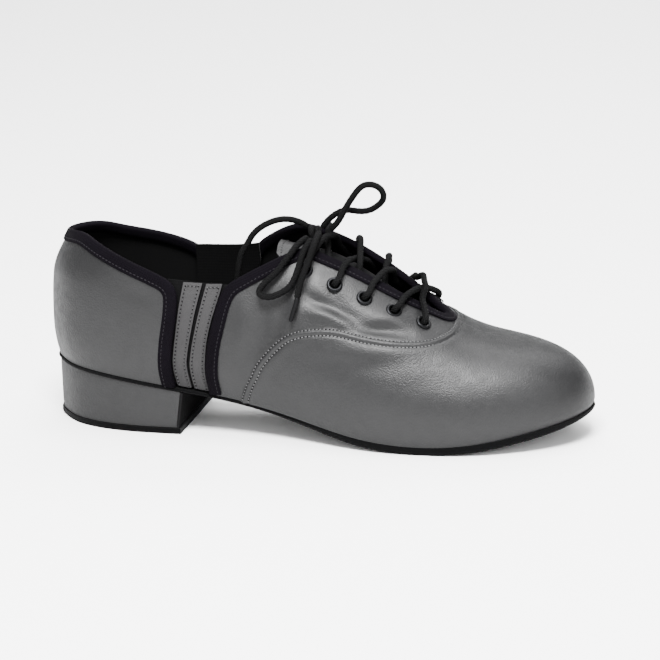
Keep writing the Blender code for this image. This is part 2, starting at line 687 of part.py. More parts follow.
def gores():
    """Elastic panels behind the notches, each with two leather strips."""
    for side, word in ((LATERAL, "lateral"), (MEDIAL, "medial")):
        rear = np.array(REAR_LATERAL if side < 0 else REAR_MEDIAL)[::-1]
        front = np.array(FRONT_LATERAL if side < 0 else FRONT_MEDIAL)
        rear_of = Spline(rear[:6, 1], rear[:6, 0] - 0.016)
        front_of = Spline(front[:7, 1], front[:7, 0] + 0.016)
        grid = []
        for k in np.linspace(0, 1, 9):
            row = []
            for c in np.linspace(0, 1, 7):
                v = 0.05 + k * 0.40
                s = rear_of(min(v, 0.40)) * (1 - c) + front_of(v) * c
                top = gore_top(side, s) + GORE_OVER[side]
                v = 0.05 + k * (top - 0.05)
                s = rear_of(min(v, 0.40)) * (1 - c) + front_of(min(v, 0.55)) * c
                row.append((FORM.round_of(s, side), v))
            grid.append(row)
        patch("gore_" + word, grid, -4.2, -3.35, (0.01, 0.01, 0.012), 0.9)
        table = np.array(STRIPS)
        for number, (a, b) in enumerate(((1, 2), (3, 4)), 1):
            left, right = Spline(table[:, 0], table[:, a]), Spline(table[:, 0], table[:, b])
            grid = []
            for k in np.linspace(0, 1, 9):
                row = []
                for c in (0.0, 0.5, 1.0):
                    top = gore_top(side, float(left(0.5) * (1 - c) + right(0.5) * c))
                    v = 0.045 + k * (top - 0.045)
                    s = left(v) * (1 - c) + right(v) * c
                    row.append((FORM.round_of(s, side), v))
                grid.append(row)
            patch("strip_" + word + "_" + str(number), grid, -3.05, -1.9, (0.2, 0.2, 0.21), 0.6)


def outline_ring(count, inset, x_max=None):
    """Plan points of the feather edge moved inward."""
    u = np.linspace(0, 1, count, endpoint=False)
    p = FORM.at(u, np.zeros(count))[:, :2]
    t = np.roll(p, -1, 0) - np.roll(p, 1, 0)
    t /= np.linalg.norm(t, axis=1, keepdims=True)
    n = np.stack([t[:, 1], -t[:, 0]], -1)
    return p - n * np.asarray(inset(p[:, 0] / LENGTH) if callable(inset) else inset)[..., None]


def plate(name, rings, tops, colour, rough, spacing=14.0):
    """A solid between two surfaces; rings and heights from the top ring to the bottom ring."""
    count = len(rings[0])
    x = np.arange(rings[0][:, 0].min() + spacing, rings[0][:, 0].max(), spacing)
    y = np.arange(-60, 61, spacing)
    gx, gy = np.meshgrid(x, y)
    cand = np.stack([gx.ravel(), gy.ravel()], -1)
    inner_poly = rings[-1]
    cand = cand[inside(cand, inner_poly)]
    d = np.linalg.norm(cand[:, None] - rings[-1][None], axis=2).min(1)
    cand = cand[d > 0.45 * spacing]
    points = []
    faces = []
    rows = []
    for ring, height in zip(rings, tops):
        rows.append(list(range(len(points), len(points) + count)))
        points += [(x, y, float(height(x, y))) for x, y in ring]
    for a, b in zip(rows, rows[1:]):
        for i in range(count):
            j = (i + 1) % count
            faces.append((b[i], b[j], a[j], a[i]))
    for row, height, flip in ((rows[0], tops[0], False), (rows[-1], tops[-1], True)):
        ring = rings[0] if not flip else rings[-1]
        flat = np.vstack([ring, cand])
        tri = triangles([list(range(count))], [], flat, lambda m, r=ring: inside(m, r))
        first = len(points)
        points += [(x, y, float(height(x, y))) for x, y in cand]
        name_of = list(row) + list(range(first, len(points)))
        for t in tri:
            f = tuple(name_of[i] for i in t)
            faces.append(f[::-1] if flip else f)
    return outward(add_mesh(name, points, faces, colour, rough))


def feather_at(x, y=0.0):
    return float(FORM.feather(min(max(x / LENGTH, 0), 1)))


def sole_bottom(x, y=0.0):
    t = min(max(x / LENGTH, 0), 1)
    z = float(FORM.feather(t)) - float(FORM.sole(t))
    return max(z, 0.0)


def sole():
    """Outsole over the whole length, thin at the waist and the seat."""
    step = Spline((0.0, 0.2, 0.4, 0.6, 0.8, 1.0), (0.2, 0.0, -0.6, 0.2, 0.8, 1.3))
    top = outline_ring(84, lambda t: -step(t))
    mid = outline_ring(84, lambda t: -step(t) - 0.35)
    low = outline_ring(84, lambda t: -step(t) + 0.45)
    mid_z = lambda x, y: 0.55 * (feather_at(x) - GAP) + 0.45 * sole_bottom(x)
    plate("outsole", [top, mid, low], [lambda x, y: feather_at(x) - GAP, mid_z, sole_bottom],
          (0.012, 0.011, 0.012), 0.9, 18.0)


def insole():
    ring = outline_ring(66, WALL_IN + 0.7)
    base = lambda x, y: feather_at(x) + MARGIN_THICK + GAP
    face = lambda x, y: feather_at(x) + MARGIN_THICK + GAP + 2.0
    plate("insole", [ring, ring], [face, base], (0.02, 0.02, 0.022), 0.85, 18.0)


def heel_ring(front, inset):
    """Seat outline cut off at a straight breast."""
    ring = outline_ring(120, inset)
    x, y = ring[:, 0], ring[:, 1]
    keep = x < front - 1.0
    order = np.argsort(np.where(keep, (np.arange(len(x)) + 60) % 120, 999))[:keep.sum()]
    near = ring[order]
    cut = []
    for a, sign in ((near[-1], -1), (near[0], 1)):
        side = ring[(ring[:, 1] * sign > 0)]
        side = side[np.argsort(side[:, 0])]
        cut.append((front, float(np.interp(front, side[:, 0], side[:, 1]))))
    body = [tuple(p) for p in near]
    body = body[::2] if len(body) > 60 else body
    if body[-1][1] < 0:
        return np.array(body + [cut[0]] + mid_breast(cut[0], cut[1]) + [cut[1]])
    return np.array(body + [cut[1]] + mid_breast(cut[1], cut[0]) + [cut[0]])


def mid_breast(a, b):
    return [(a[0] * (1 - k) + b[0] * k, a[1] * (1 - k) + b[1] * k) for k in (0.25, 0.5, 0.75)]


def heel():
    """Covered heel block, the thin cover on its front and the top piece under it."""
    under = lambda x, y: sole_bottom(x) - GAP
    flat = lambda h: (lambda x, y: h)
    front = BREAST_X - 1.6
    top = heel_ring(front, 0.5)
    low = heel_ring(front, 0.7)
    share = smooth((low[:, 0] - 40) / (front - 40))
    low = low + np.stack([-BREAST_LEAN * share, np.zeros(len(low))], -1)
    plate("heel_block", [top, low], [under, flat(LIFT_THICK + GAP)], (0.19, 0.19, 0.2), 0.42)
    square = top[:, 1][np.abs(top[:, 0] - front) < 0.1]
    y0, y1 = float(square.min()), float(square.max())
    ys = np.linspace(y0, y1, 6)
    stations = []
    for y in ys:
        up = under(BREAST_X, y)
        down = LIFT_THICK + GAP
        lean = BREAST_LEAN
        stations.append(np.array([(front + GAP, y, up), (front + GAP + 1.2, y, up),
                                  (front + GAP + 1.2 - lean, y, down), (front + GAP - lean, y, down)]))
    outward(strip_mesh("heel_breast", stations, (0.012, 0.012, 0.013), 0.6))
    ring = heel_ring(BREAST_X - BREAST_LEAN + 0.6, 0.2)
    wide = heel_ring(BREAST_X - BREAST_LEAN + 0.6, -0.1)
    heights = [flat(LIFT_THICK), flat(1.4), flat(0.0)]
    plate("heel_lift", [ring, wide, ring], heights, (0.012, 0.012, 0.012), 0.95)


def tongue():
    """Tongue under the facings, its free end just above the near collar."""
    # x, side y of each edge, depth under the form
    rows = (
        (228.0, -13.0, 21.0, -2.5), (218.0, -17.0, 25.0, -4.3), (208.0, -22.0, 29.0, -7.2),
        (190.0, -25.0, 31.5, -8.6), (175.0, -26.5, 33.0, -9.2), (160.0, -26.5, 33.0, -9.2),
        (148.0, -24.5, 31.0, -9.2), (140.0, -22.5, 28.0, -9.2), (134.0, -19.5, 24.0, -9.0),
        (129.0, -15.5, 19.0, -8.6), (125.5, -11.5, 14.0, -8.4),
    )
    table = np.array(rows)[::-1]
    curve = Spline(table[:, 0], table[:, 1:])
    xs = np.linspace(228.0, 125.5, 15)
    grid_out = []
    grid_in = []
    for x in xs:
        a, b, depth = curve(x)
        for c in np.linspace(0, 1, 9):
            y = a + (b - a) * c
            uv = place_of(x, y)
            p, n, _, _ = FORM.frame(np.array([uv[0]]), np.array([uv[1]]))
            grid_out.append(p[0] + n[0] * depth)
            grid_in.append(p[0] + n[0] * (depth - 1.6))
    sheet = []
    for r in range(len(xs) - 1):
        for c in range(8):
            i = r * 9 + c
            sheet.append((i, i + 1, i + 10, i + 9))
    outward(shell("tongue", np.array(grid_out), np.array(grid_in), sheet, (0.19, 0.19, 0.2), 0.5))


SEEK_U = np.linspace(0.05, 0.95, 361)
SEEK_V = np.linspace(0.30, 1.0, 141)
SEEK = np.meshgrid(SEEK_U, SEEK_V)
SEEK_P = FORM.at(SEEK[0], SEEK[1])


def place_of(x, y):
    """Place on the form over a plan point."""
    side = SEEK[0] < FORM.toe_u if y < FORM.centre(x / LENGTH) else SEEK[0] >= FORM.toe_u
    d = np.hypot(SEEK_P[..., 0] - x, SEEK_P[..., 1] - y) + np.where(side, 0, 1e6)
    k = np.unravel_index(d.argmin(), d.shape)
    u, v = SEEK[0][k], SEEK[1][k]
    for _ in range(6):
        p = FORM.at(u, v)
        lo = max(v - 1e-3, 0.0)
        su = (FORM.at(u + 1e-3, v) - FORM.at(u - 1e-3, v)) / 2e-3
        sv = (p - FORM.at(u, lo)) / (v - lo)
        m = np.array([[su[0], sv[0]], [su[1], sv[1]]])
        d = np.linalg.lstsq(m, np.array([x, y]) - p[:2], rcond=None)[0]
        d *= min(1.0, 0.01 / max(np.abs(d).max(), 1e-9))
        u, v = u + d[0], float(np.clip(v + d[1], 0.2, 1.0))
    return u, v


# ring of a lace hole: radius, height over the form
EYELET = ((2.2, -2.4), (2.2, 0.5), (3.1, 1.0), (4.1, 0.4), (2.65, 0.2), (2.65, -2.4))


def eyelets():
    for side, holes, word in ((LATERAL, HOLES_LATERAL, "lateral"), (MEDIAL, HOLES_MEDIAL, "medial")):
        for number, (station, up) in enumerate(holes, 1):
            u = float(FORM.round_of(station, side))
            p, n, su, sv = FORM.frame(np.array([u]), np.array([up]))
            a = su[0] / np.linalg.norm(su[0])
            b = np.cross(n[0], a)
            stations = []
            for k in range(8):
                t = 2 * np.pi * (k + 0.5) / 8
                d = a * np.cos(t) + b * np.sin(t)
                stations.append(np.array([p[0] + d * r + n[0] * h for r, h in EYELET]))
            obj = strip_mesh("eyelet_" + word + "_" + str(number), stations, (0.03, 0.03, 0.032), 0.35, True)
            outward(obj)


RUN_OVER = 2.9
RUN_UNDER = -5.1
# order of the holes along the lace: side, pair from the top, over or under on its way there and on
ROUTE = (
    (LATERAL, 0, "under", "over"), (MEDIAL, 1, "under", "over"), (LATERAL, 2, "under", "over"),
    (MEDIAL, 3, "under", "over"), (LATERAL, 4, "over", "under"), (MEDIAL, 4, "under", "over"),
    (LATERAL, 3, "over", "under"), (MEDIAL, 2, "over", "under"), (LATERAL, 1, "over", "under"),
    (MEDIAL, 0, "over", "under"),
)
# height of the middle of each run over a straight line, so that crossing runs clear each other
CROSSING = (2.3, 2.3, 2.3, 3.9, 0.0, 0.3, -2.2, -2.2, -2.2)


def hole(side, pair):
    station, up = (HOLES_LATERAL if side < 0 else HOLES_MEDIAL)[pair]
    u = float(FORM.round_of(station, side))
    p, n, _, _ = FORM.frame(np.array([u]), np.array([up]))
    return p[0], n[0]


def over_plan(x, y, height):
    u, v = place_of(x, y)
    p, n, _, _ = FORM.frame(np.array([u]), np.array([v]))
    return p[0] + n[0] * height


def facing_crossing(side, a, b):
    """Share along a plan line from a to b where it crosses a facing's edge."""
    edge = FORM.edge(FRONT_LATERAL if side < 0 else FRONT_MEDIAL, side, 3.0)
    p = FORM.at(edge[:, 0], edge[:, 1])
    k = np.linspace(0, 1, 201)
    line = a[None] * (1 - k[:, None]) + b[None] * k[:, None]
    d = np.hypot(line[:, None, 0] - p[None, :, 0], line[:, None, 1] - p[None, :, 1])
    return float(k[d.min(1).argmin()])


def turn(p, n, way, word):
    """Places from a run's height to the middle of a hole."""
    if word == "over":
        rows = ((2.3, RUN_OVER), (0.7, 2.3), (0.0, 0.8))
    else:
        rows = ((2.2, RUN_UNDER + 0.2), (0.65, -4.3), (0.0, -2.7))
    return [p + way * r + n * h for r, h in rows]


def lace():
    """The lace through the holes, from one side of the knot to the other, in one piece."""
    runs = []
    count = len(ROUTE)
    for i in range(count - 1):
        side_a, pair_a, _, leave = ROUTE[i]
        side_b, pair_b, arrive, _ = ROUTE[i + 1]
        pa, na = hole(side_a, pair_a)
        pb, nb = hole(side_b, pair_b)
        way_a = pb - pa
        way_a = way_a - na * way_a.dot(na)
        way_a /= np.linalg.norm(way_a)
        way_b = pa - pb
        way_b = way_b - nb * way_b.dot(nb)
        way_b /= np.linalg.norm(way_b)
        ka = facing_crossing(side_a, pa[:2], pb[:2])
        kb = facing_crossing(side_b, pa[:2], pb[:2])
        leave = "over" if ROUTE[i][3] == "over" else "under"
        arrive = ROUTE[i + 1][2]
        ha = RUN_OVER if leave == "over" else RUN_UNDER
        hb = RUN_OVER if arrive == "over" else RUN_UNDER
        line = lambda k: pa[:2] * (1 - k) + pb[:2] * k
        edge_a = over_plan(*line(ka), ha)
        edge_b = over_plan(*line(kb), hb)
        half_a = over_plan(*line(ka * 0.6), ha)
        half_b = over_plan(*line(1 - (1 - kb) * 0.6), hb)
        run = turn(pa, na, way_a, leave)[::-1]
        run += [half_a, edge_a]
        for k in (0.25, 0.5, 0.75):
            spot = line(ka * (1 - k) + kb * k)
            run.append(over_plan(*spot, ha * (1 - k) + hb * k + CROSSING[i]))
        run += [edge_b, half_b]
        run += turn(pb, nb, way_b, arrive)
        runs.append(run)
    first, last = ROUTE[0], ROUTE[-1]
    ends = []
    goals = over_plan(146.5, -6.0, -4.2), over_plan(144.5, 7.5, -4.2)
    for (side, pair, _, _), goal in zip((first, last), goals):
        p, n = hole(side, pair)
        way = np.array(goal) - p
        way = way - n * way.dot(n)
        way /= np.linalg.norm(way)
        mid = over_plan(p[0] + way[0] * 7.0, p[1] + way[1] * 7.0, -5.0)
        between = over_plan(*((mid + goal)[:2] / 2), -4.5)
        ends.append([goal, between, mid] + turn(p, n, way, "under"))
    path = ends[0]
    for run in runs:
        path = path + run
    path = path + ends[1][::-1]
    tube("lace_crossings", path, LACE / 2, 6)


def tube(name, path, radius, sides):
    """A round body along a line of places."""
    p = np.array(path, float)
    keep = [0]
    for i in range(1, len(p)):
        if np.linalg.norm(p[i] - p[keep[-1]]) > 0.3:
            keep.append(i)
    p = p[keep]
    t = np.gradient(p, axis=0)
    for i in range(1, len(p) - 1):
        a = p[i] - p[i - 1]
        b = p[i + 1] - p[i]
        t[i] = a / np.linalg.norm(a) + b / np.linalg.norm(b)
    t /= np.linalg.norm(t, axis=1, keepdims=True)
    side = np.cross(t[0], [0.3, 0.2, 1.0])
    side /= np.linalg.norm(side)
    stations = []
    for i in range(len(p)):
        side = side - t[i] * side.dot(t[i])
        side /= np.linalg.norm(side)
        up = np.cross(t[i], side)
        ang = 2 * np.pi * np.arange(sides) / sides
        stations.append(p[i] + radius * (np.cos(ang)[:, None] * side + np.sin(ang)[:, None] * up))
    outward(strip_mesh(name, stations, (0.01, 0.01, 0.01), 0.8))


# middle line of each loose end and loop of the bow, in millimetres
KNOT = (143.0, -1.4, 100.6)
LOOP_UP = (
    (145.3, 4.2, 102.6), (148.2, 5.5, 106.4), (152.4, 6.0, 109.8), (156.9, 6.6, 111.6), (163.1, 7.2, 111.2),
    (168.9, 7.0, 111.8), (174.1, 6.0, 114.9), (177.2, 4.8, 119.2), (176.3, 3.6, 123.5), (172.4, 2.6, 126.1),
    (167.7, 2.0, 125.8), (163.5, 1.6, 121.9), (160.1, 1.4, 116.9), (157.1, 1.4, 111.8), (154.1, 1.6, 106.7),
    (150.4, 1.6, 102.6),
)
LOOP_DOWN = (
    (139.8, -6.3, 99.8), (137.2, -13.8, 98.4), (134.9, -20.4, 95.2), (132.2, -24.4, 91.4),
    (127.9, -28.6, 86.0), (122.0, -32.0, 80.2), (121.2, -33.4, 77.4), (124.0, -34.2, 75.9),
    (130.2, -33.7, 76.9), (136.2, -31.6, 80.6), (138.9, -28.0, 86.0), (140.0, -23.6, 91.2),
    (140.8, -17.8, 95.8), (142.6, -9.6, 99.6),
)
END_IN = (
    (138.2, 3.2, 103.0), (135.4, 2.4, 105.0), (131.3, 1.2, 106.8), (126.6, 0.0, 107.5), (120.1, -1.4, 106.2),
    (114.4, -2.8, 103.2), (110.3, -4.0, 99.1), (108.0, -5.0, 95.1), (105.6, -6.0, 91.1), (104.2, -7.0, 86.0),
    (103.2, -8.6, 78.0), (102.6, -10.6, 68.0), (102.2, -12.2, 58.0),
)
END_OUT = (
    (146.0, -6.5, 102.6), (146.4, -13.0, 101.8), (146.3, -18.8, 99.6), (145.7, -22.8, 96.6),
    (144.8, -26.6, 92.3), (143.8, -29.4, 88.8), (142.7, -31.0, 85.2), (141.7, -32.2, 81.5),
    (141.0, -33.2, 78.4), (140.6, -34.4, 75.0), (139.3, -36.4, 69.6), (137.9, -38.0, 64.5),
)


def cord(name, rows, step=7.0):
    """A loose cord: a smooth open line through hand placed points, given a round section."""
    p = np.array(rows, float)
    k = np.concatenate([[0], np.cumsum(np.linalg.norm(np.diff(p, axis=0), axis=1))])
    line = Spline(k, p)
    n = min(max(int(round(k[-1] / step)), 5), 78)
    pts = line(np.linspace(0, k[-1], n + 1))
    curve = bpy.data.curves.new(name, "CURVE")
    curve.dimensions = "3D"
    curve.bevel_depth = LACE / 2 * MM
    curve.bevel_resolution = 2
    curve.resolution_u = 1
    curve.render_resolution_u = 0
    curve.use_fill_caps = True
    spline = curve.splines.new("POLY")
    spline.points.add(len(pts) - 1)
    for point, q in zip(spline.points, pts):
        point.co = (q[0] * MM, q[1] * MM, q[2] * MM, 1.0)
    obj = bpy.data.objects.new(name, curve)
    bpy.context.collection.objects.link(obj)
    paint(obj, (0.01, 0.01, 0.01), 0.8)


def bow():
    c = np.array(KNOT)
    rows = []
    for t in np.linspace(0, 3.3 * np.pi, 17):
        turn_at = t / (2 * np.pi)
        rows.append(c + np.array([-2.9 + 3.5 * turn_at, 3.1 * np.cos(t), 3.1 * np.sin(t)]))
    cord("lace_knot", rows, 2.2)
    cord("lace_loop_up", LOOP_UP)
    cord("lace_loop_down", LOOP_DOWN)
    cord("lace_end_in", END_IN)
    cord("lace_end_out", END_OUT)


def main():
    for obj in list(bpy.data.objects):
        bpy.data.objects.remove(obj)
    upper()
    bindings()
    gores()
    sole()
    insole()
    heel()
    tongue()
    eyelets()
    lace()
    bow()
    for obj in bpy.data.objects:
        obj.data.transform(Matrix.Translation((-MIDDLE_X * MM, -MIDDLE_Y * MM, 0.0)))


main()
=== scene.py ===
"""Looks of the ballroom dance shoe, dressed over its frame.

The frame's plain solids are replaced by finer pieces that follow the same form: leather
panels with soft creases, folded tape, ribbed elastic, stitches, metal rings and a braided
lace. Lengths are millimetres in the form's own measures until a mesh is made.
"""

import logging
import math
from collections.abc import Callable, Sequence
from dataclasses import dataclass, field
from enum import Enum, IntEnum

import bmesh
import bpy
import numpy as np
from mathutils import Matrix, Vector

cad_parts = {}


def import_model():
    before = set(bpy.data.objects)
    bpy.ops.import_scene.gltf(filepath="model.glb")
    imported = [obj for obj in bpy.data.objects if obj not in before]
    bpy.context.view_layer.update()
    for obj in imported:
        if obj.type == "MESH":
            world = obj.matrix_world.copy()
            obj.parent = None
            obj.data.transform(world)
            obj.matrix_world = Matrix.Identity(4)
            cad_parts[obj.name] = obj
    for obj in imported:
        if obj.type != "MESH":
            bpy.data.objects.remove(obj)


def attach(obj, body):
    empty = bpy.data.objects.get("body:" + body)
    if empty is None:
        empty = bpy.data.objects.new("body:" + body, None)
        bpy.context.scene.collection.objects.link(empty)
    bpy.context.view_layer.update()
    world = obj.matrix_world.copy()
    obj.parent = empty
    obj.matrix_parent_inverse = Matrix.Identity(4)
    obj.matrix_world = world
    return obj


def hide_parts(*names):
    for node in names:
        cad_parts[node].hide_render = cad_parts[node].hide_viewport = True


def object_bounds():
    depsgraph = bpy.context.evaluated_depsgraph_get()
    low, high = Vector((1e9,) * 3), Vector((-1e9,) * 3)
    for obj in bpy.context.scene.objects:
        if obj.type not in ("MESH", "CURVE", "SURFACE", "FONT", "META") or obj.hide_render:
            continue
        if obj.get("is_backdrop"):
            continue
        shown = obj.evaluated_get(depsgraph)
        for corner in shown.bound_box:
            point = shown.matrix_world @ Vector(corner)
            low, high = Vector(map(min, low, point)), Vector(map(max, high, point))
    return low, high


LOG = logging.getLogger("shoe")

Array = np.ndarray
Thing = bpy.types.Object
Tree = bpy.types.NodeTree
Heights = Callable[[Array], Array]


class Side(IntEnum):
    """Sides of the shoe, as the sign of y."""

    LATERAL = -1
    MEDIAL = 1


class Level(Enum):
    """Which face of the leather the lace lies on."""

    OVER = "over"
    UNDER = "under"


LATERAL, MEDIAL = Side.LATERAL, Side.MEDIAL
OVER, UNDER = Level.OVER, Level.UNDER
WORDS = {LATERAL: "lateral", MEDIAL: "medial"}

MM = 0.001
# middle of the shoe's box in form measures, which is the frame's origin
MIDDLE = np.array([142.90, 0.95, 0.0])
LENGTH = 285.0
BALL_WIDTH = 95.0
INSTEP = 104.6
WIDEST = 0.22
WALL_IN = 1.8
GAP = 0.3
MARGIN_THICK = 1.5
HEEL_LEAN = 0.13
TOE_Y = 2.6
LIFT_THICK = 3.0
BREAST_X = 79.0
BREAST_LEAN = 2.6
LACE = 3.0
# width of the photograph in pixels
PHOTO = 660

# station as a share of the length, lateral and medial half width as shares of the ball width
PLAN = (
    (0.020, 0.1389, 0.1611),
    (0.060, 0.2663, 0.2726),
    (0.150, 0.3674, 0.3400),
    (0.300, 0.3821, 0.3221),
    (0.420, 0.3895, 0.3200),
    (0.520, 0.4316, 0.3768),
    (0.620, 0.4832, 0.4632),
    (0.720, 0.4863, 0.5095),
    (0.810, 0.4474, 0.4926),
    (0.890, 0.3600, 0.4158),
    (0.950, 0.2495, 0.3063),
    (0.985, 0.1326, 0.1811),
)
# station, height of the feather edge, thickness of the sole under it
SOLE = (
    (0.00, 32.4, 1.9),
    (0.12, 30.4, 1.9),
    (0.24, 26.0, 1.9),
    (0.36, 20.9, 2.1),
    (0.48, 13.9, 2.7),
    (0.58, 7.6, 3.7),
    (0.68, 4.4, 4.2),
    (0.78, 5.0, 4.2),
    (0.88, 9.4, 3.9),
    (0.95, 13.4, 3.3),
    (1.00, 16.6, 2.3),
)
# station, height of the ridge as a share of the instep height
RIDGE = (
    (0.15, 1.2811),
    (0.26, 1.1855),
    (0.36, 1.0727),
    (0.46, 1.0000),
    (0.56, 0.9025),
    (0.64, 0.7734),
    (0.70, 0.6482),
    (0.76, 0.5306),
    (0.82, 0.4751),
    (0.87, 0.4541),
)
# station, tuck of the feather edge, rise of the widest level, side and top roundness
SECTION = (
    (0.00, 2.5, 18.3, 1.08, 0.90),
    (0.15, 3.0, 20.0, 0.90, 0.90),
    (0.36, 3.5, 17.0, 0.96, 1.01),
    (0.50, 3.0, 16.0, 0.91, 0.94),
    (0.65, 2.5, 15.0, 1.10, 1.04),
    (0.80, 2.0, 11.2, 0.75, 0.95),
    (0.90, 1.6, 6.6, 0.56, 0.96),
    (1.00, 1.1, 3.2, 0.62, 0.94),
)
# station, side shift of the ridge
CENTRE = ((0.0, 0.0), (0.15, 0.0), (0.35, 3.9), (0.5, 9.4), (0.65, 6.9), (0.8, 4.2), (0.9, 4.2))

# edges of the leather as station and up, from the heel down to the gore's foot
REAR_LATERAL = (
    (0.0, 0.507), (0.012, 0.51), (0.031, 0.516), (0.064, 0.519), (0.1, 0.504), (0.15, 0.484),
    (0.2, 0.474), (0.238, 0.47), (0.257, 0.462), (0.267, 0.44), (0.2695, 0.4), (0.2655, 0.315),
    (0.2606, 0.253), (0.2575, 0.187), (0.257, 0.097), (0.2585, 0.03), (0.259, 0.004),
)
REAR_MEDIAL = (
    (0.0, 0.507), (0.012, 0.507), (0.031, 0.504), (0.066, 0.493), (0.1, 0.479), (0.15, 0.475),
    (0.2, 0.485), (0.238, 0.492), (0.257, 0.486), (0.267, 0.462), (0.2695, 0.42), (0.2655, 0.325),
    (0.2606, 0.258), (0.2575, 0.187), (0.257, 0.097), (0.2585, 0.03), (0.259, 0.004),
)
# from the gore's foot by the collar and the facing to the throat
FRONT_LATERAL = (
    (0.3295, 0.004), (0.329, 0.03), (0.327, 0.097), (0.3268, 0.187), (0.3315, 0.29), (0.343, 0.4),
    (0.353, 0.485),
    (0.366, 0.54), (0.385, 0.58), (0.408, 0.622), (0.435, 0.672), (0.462, 0.73), (0.482, 0.777),
    (0.4935, 0.798), (0.508, 0.806), (0.53, 0.811), (0.563, 0.825), (0.6053, 0.846), (0.6586, 0.876),
    (0.6997, 0.911), (0.73, 0.944), (0.748, 0.972), (0.754, 1.0),
)
FRONT_MEDIAL = (
    (0.3315, 0.004), (0.331, 0.03), (0.329, 0.097), (0.329, 0.187), (0.334, 0.29), (0.346, 0.4),
    (0.36, 0.53),
    (0.37, 0.6), (0.386, 0.655), (0.408, 0.712), (0.432, 0.775), (0.452, 0.828), (0.469, 0.866),
    (0.483, 0.882), (0.503, 0.891), (0.543, 0.909), (0.595, 0.927), (0.648, 0.942), (0.69, 0.954),
    (0.722, 0.962), (0.74, 0.968), (0.7505, 0.98), (0.754, 1.0),
)
# upper edge of the vamp where it lies on the quarter
SEAM_LATERAL = (
    (0.384, 0.0), (0.389, 0.06), (0.404, 0.2), (0.426, 0.295), (0.448, 0.352), (0.47, 0.398),
    (0.497, 0.438), (0.526, 0.475), (0.557, 0.515), (0.597, 0.553), (0.643, 0.598), (0.685, 0.648),
    (0.726, 0.722), (0.751, 0.802), (0.768, 0.905), (0.774, 1.0),
)
SEAM_MEDIAL = (
    *SEAM_LATERAL[:6],
    (0.497, 0.44), (0.526, 0.482), (0.557, 0.53), (0.597, 0.583), (0.643, 0.645), (0.685, 0.705),
    (0.726, 0.785), (0.751, 0.858), (0.768, 0.935), (0.774, 1.0),
)
# strips on the gore: up, then rear and front edge of each as a station
STRIPS = (
    (0.035, 0.2635, 0.2915, 0.295, 0.3245),
    (0.1, 0.2612, 0.2895, 0.293, 0.3225),
    (0.2, 0.262, 0.289, 0.2928, 0.3225),
    (0.3, 0.2685, 0.297, 0.3008, 0.327),
    (0.4, 0.275, 0.3065, 0.311, 0.3375),
    (0.5, 0.2825, 0.317, 0.3215, 0.35),
    (0.62, 0.288, 0.327, 0.332, 0.36),
)
# top line of each gore: side, station and up at the rear and at the front
GORE_TOP = {LATERAL: (0.248, 0.471, 0.38, 0.572), MEDIAL: (0.248, 0.474, 0.38, 0.64)}
# how far each elastic stands above its strips, and where they start above the sole
GORE_OVER = {LATERAL: 0.0, MEDIAL: 0.03}
FOOT = 0.004
# lace holes from the top pair down: station and up
HOLES_LATERAL = ((0.4986, 0.69), (0.5527, 0.697), (0.6054, 0.727), (0.6572, 0.761), (0.712, 0.8))
HOLES_MEDIAL = ((0.4995, 0.672), (0.552, 0.724), (0.606, 0.779), (0.657, 0.825), (0.712, 0.848))
RUN_OVER = 2.9
RUN_UNDER = -5.1
# order of the holes along the lace: side, pair from the top, over or under on its way there and on
ROUTE = (
    (LATERAL, 0, UNDER, OVER), (MEDIAL, 1, UNDER, OVER), (LATERAL, 2, UNDER, OVER),
    (MEDIAL, 3, UNDER, OVER), (LATERAL, 4, OVER, UNDER), (MEDIAL, 4, UNDER, OVER),
    (LATERAL, 3, OVER, UNDER), (MEDIAL, 2, OVER, UNDER), (LATERAL, 1, OVER, UNDER),
    (MEDIAL, 0, OVER, UNDER),
)
# height of the middle of each run over a straight line, so that crossing runs clear each other
CROSSING = (2.3, 2.3, 2.3, 3.9, 0.0, 0.3, -2.2, -2.2, -2.2)
# middle line of each loose end and loop of the bow, in millimetres
KNOT = (143.0, -1.4, 100.6)
LOOP_UP = (
    (145.3, 4.2, 102.6), (148.2, 5.5, 106.4), (152.4, 6.0, 109.8), (156.9, 6.6, 111.6), (163.1, 7.2, 111.2),
    (168.9, 7.0, 111.8), (174.1, 6.0, 114.9), (177.2, 4.8, 119.2), (176.3, 3.6, 123.5), (172.4, 2.6, 126.1),
    (167.7, 2.0, 125.8), (163.5, 1.6, 121.9), (160.1, 1.4, 116.9), (157.1, 1.4, 111.8), (154.1, 1.6, 106.7),
    (150.4, 1.6, 102.6),
)
LOOP_DOWN = (
    (139.8, -6.3, 99.8), (137.2, -13.8, 98.4), (134.9, -20.4, 95.2), (132.2, -24.4, 91.4),
    (127.9, -28.6, 86), (122, -32, 80.2), (121.2, -33.4, 77.4), (124, -34.2, 75.9),
    (130.2, -33.7, 76.9), (136.2, -31.6, 80.6), (138.9, -28, 86), (140, -23.6, 91.2),
    (140.8, -17.8, 95.8), (142.6, -9.6, 99.6),
)
END_IN = (
    (138.2, 3.2, 103), (135.4, 2.4, 105), (131.3, 1.2, 106.8), (126.6, 0.0, 107.5), (120.1, -1.4, 106.2),
    (114.4, -2.8, 103.2), (110.3, -4.0, 99.1), (108, -5.0, 95.1), (105.6, -6.0, 91.1), (104.2, -7.0, 86),
    (103.2, -8.6, 78), (102.6, -10.6, 68), (102.2, -12.2, 58),
)
END_OUT = (
    (146, -6.5, 102.6), (146.4, -13, 101.8), (146.3, -18.8, 99.6), (145.7, -22.8, 96.6),
    (144.8, -26.6, 92.3), (143.8, -29.4, 88.8), (142.7, -31, 85.2), (141.7, -32.2, 81.5),
    (141, -33.2, 78.4), (140.6, -34.4, 75), (139.3, -36.4, 69.6), (137.9, -38, 64.5),
)


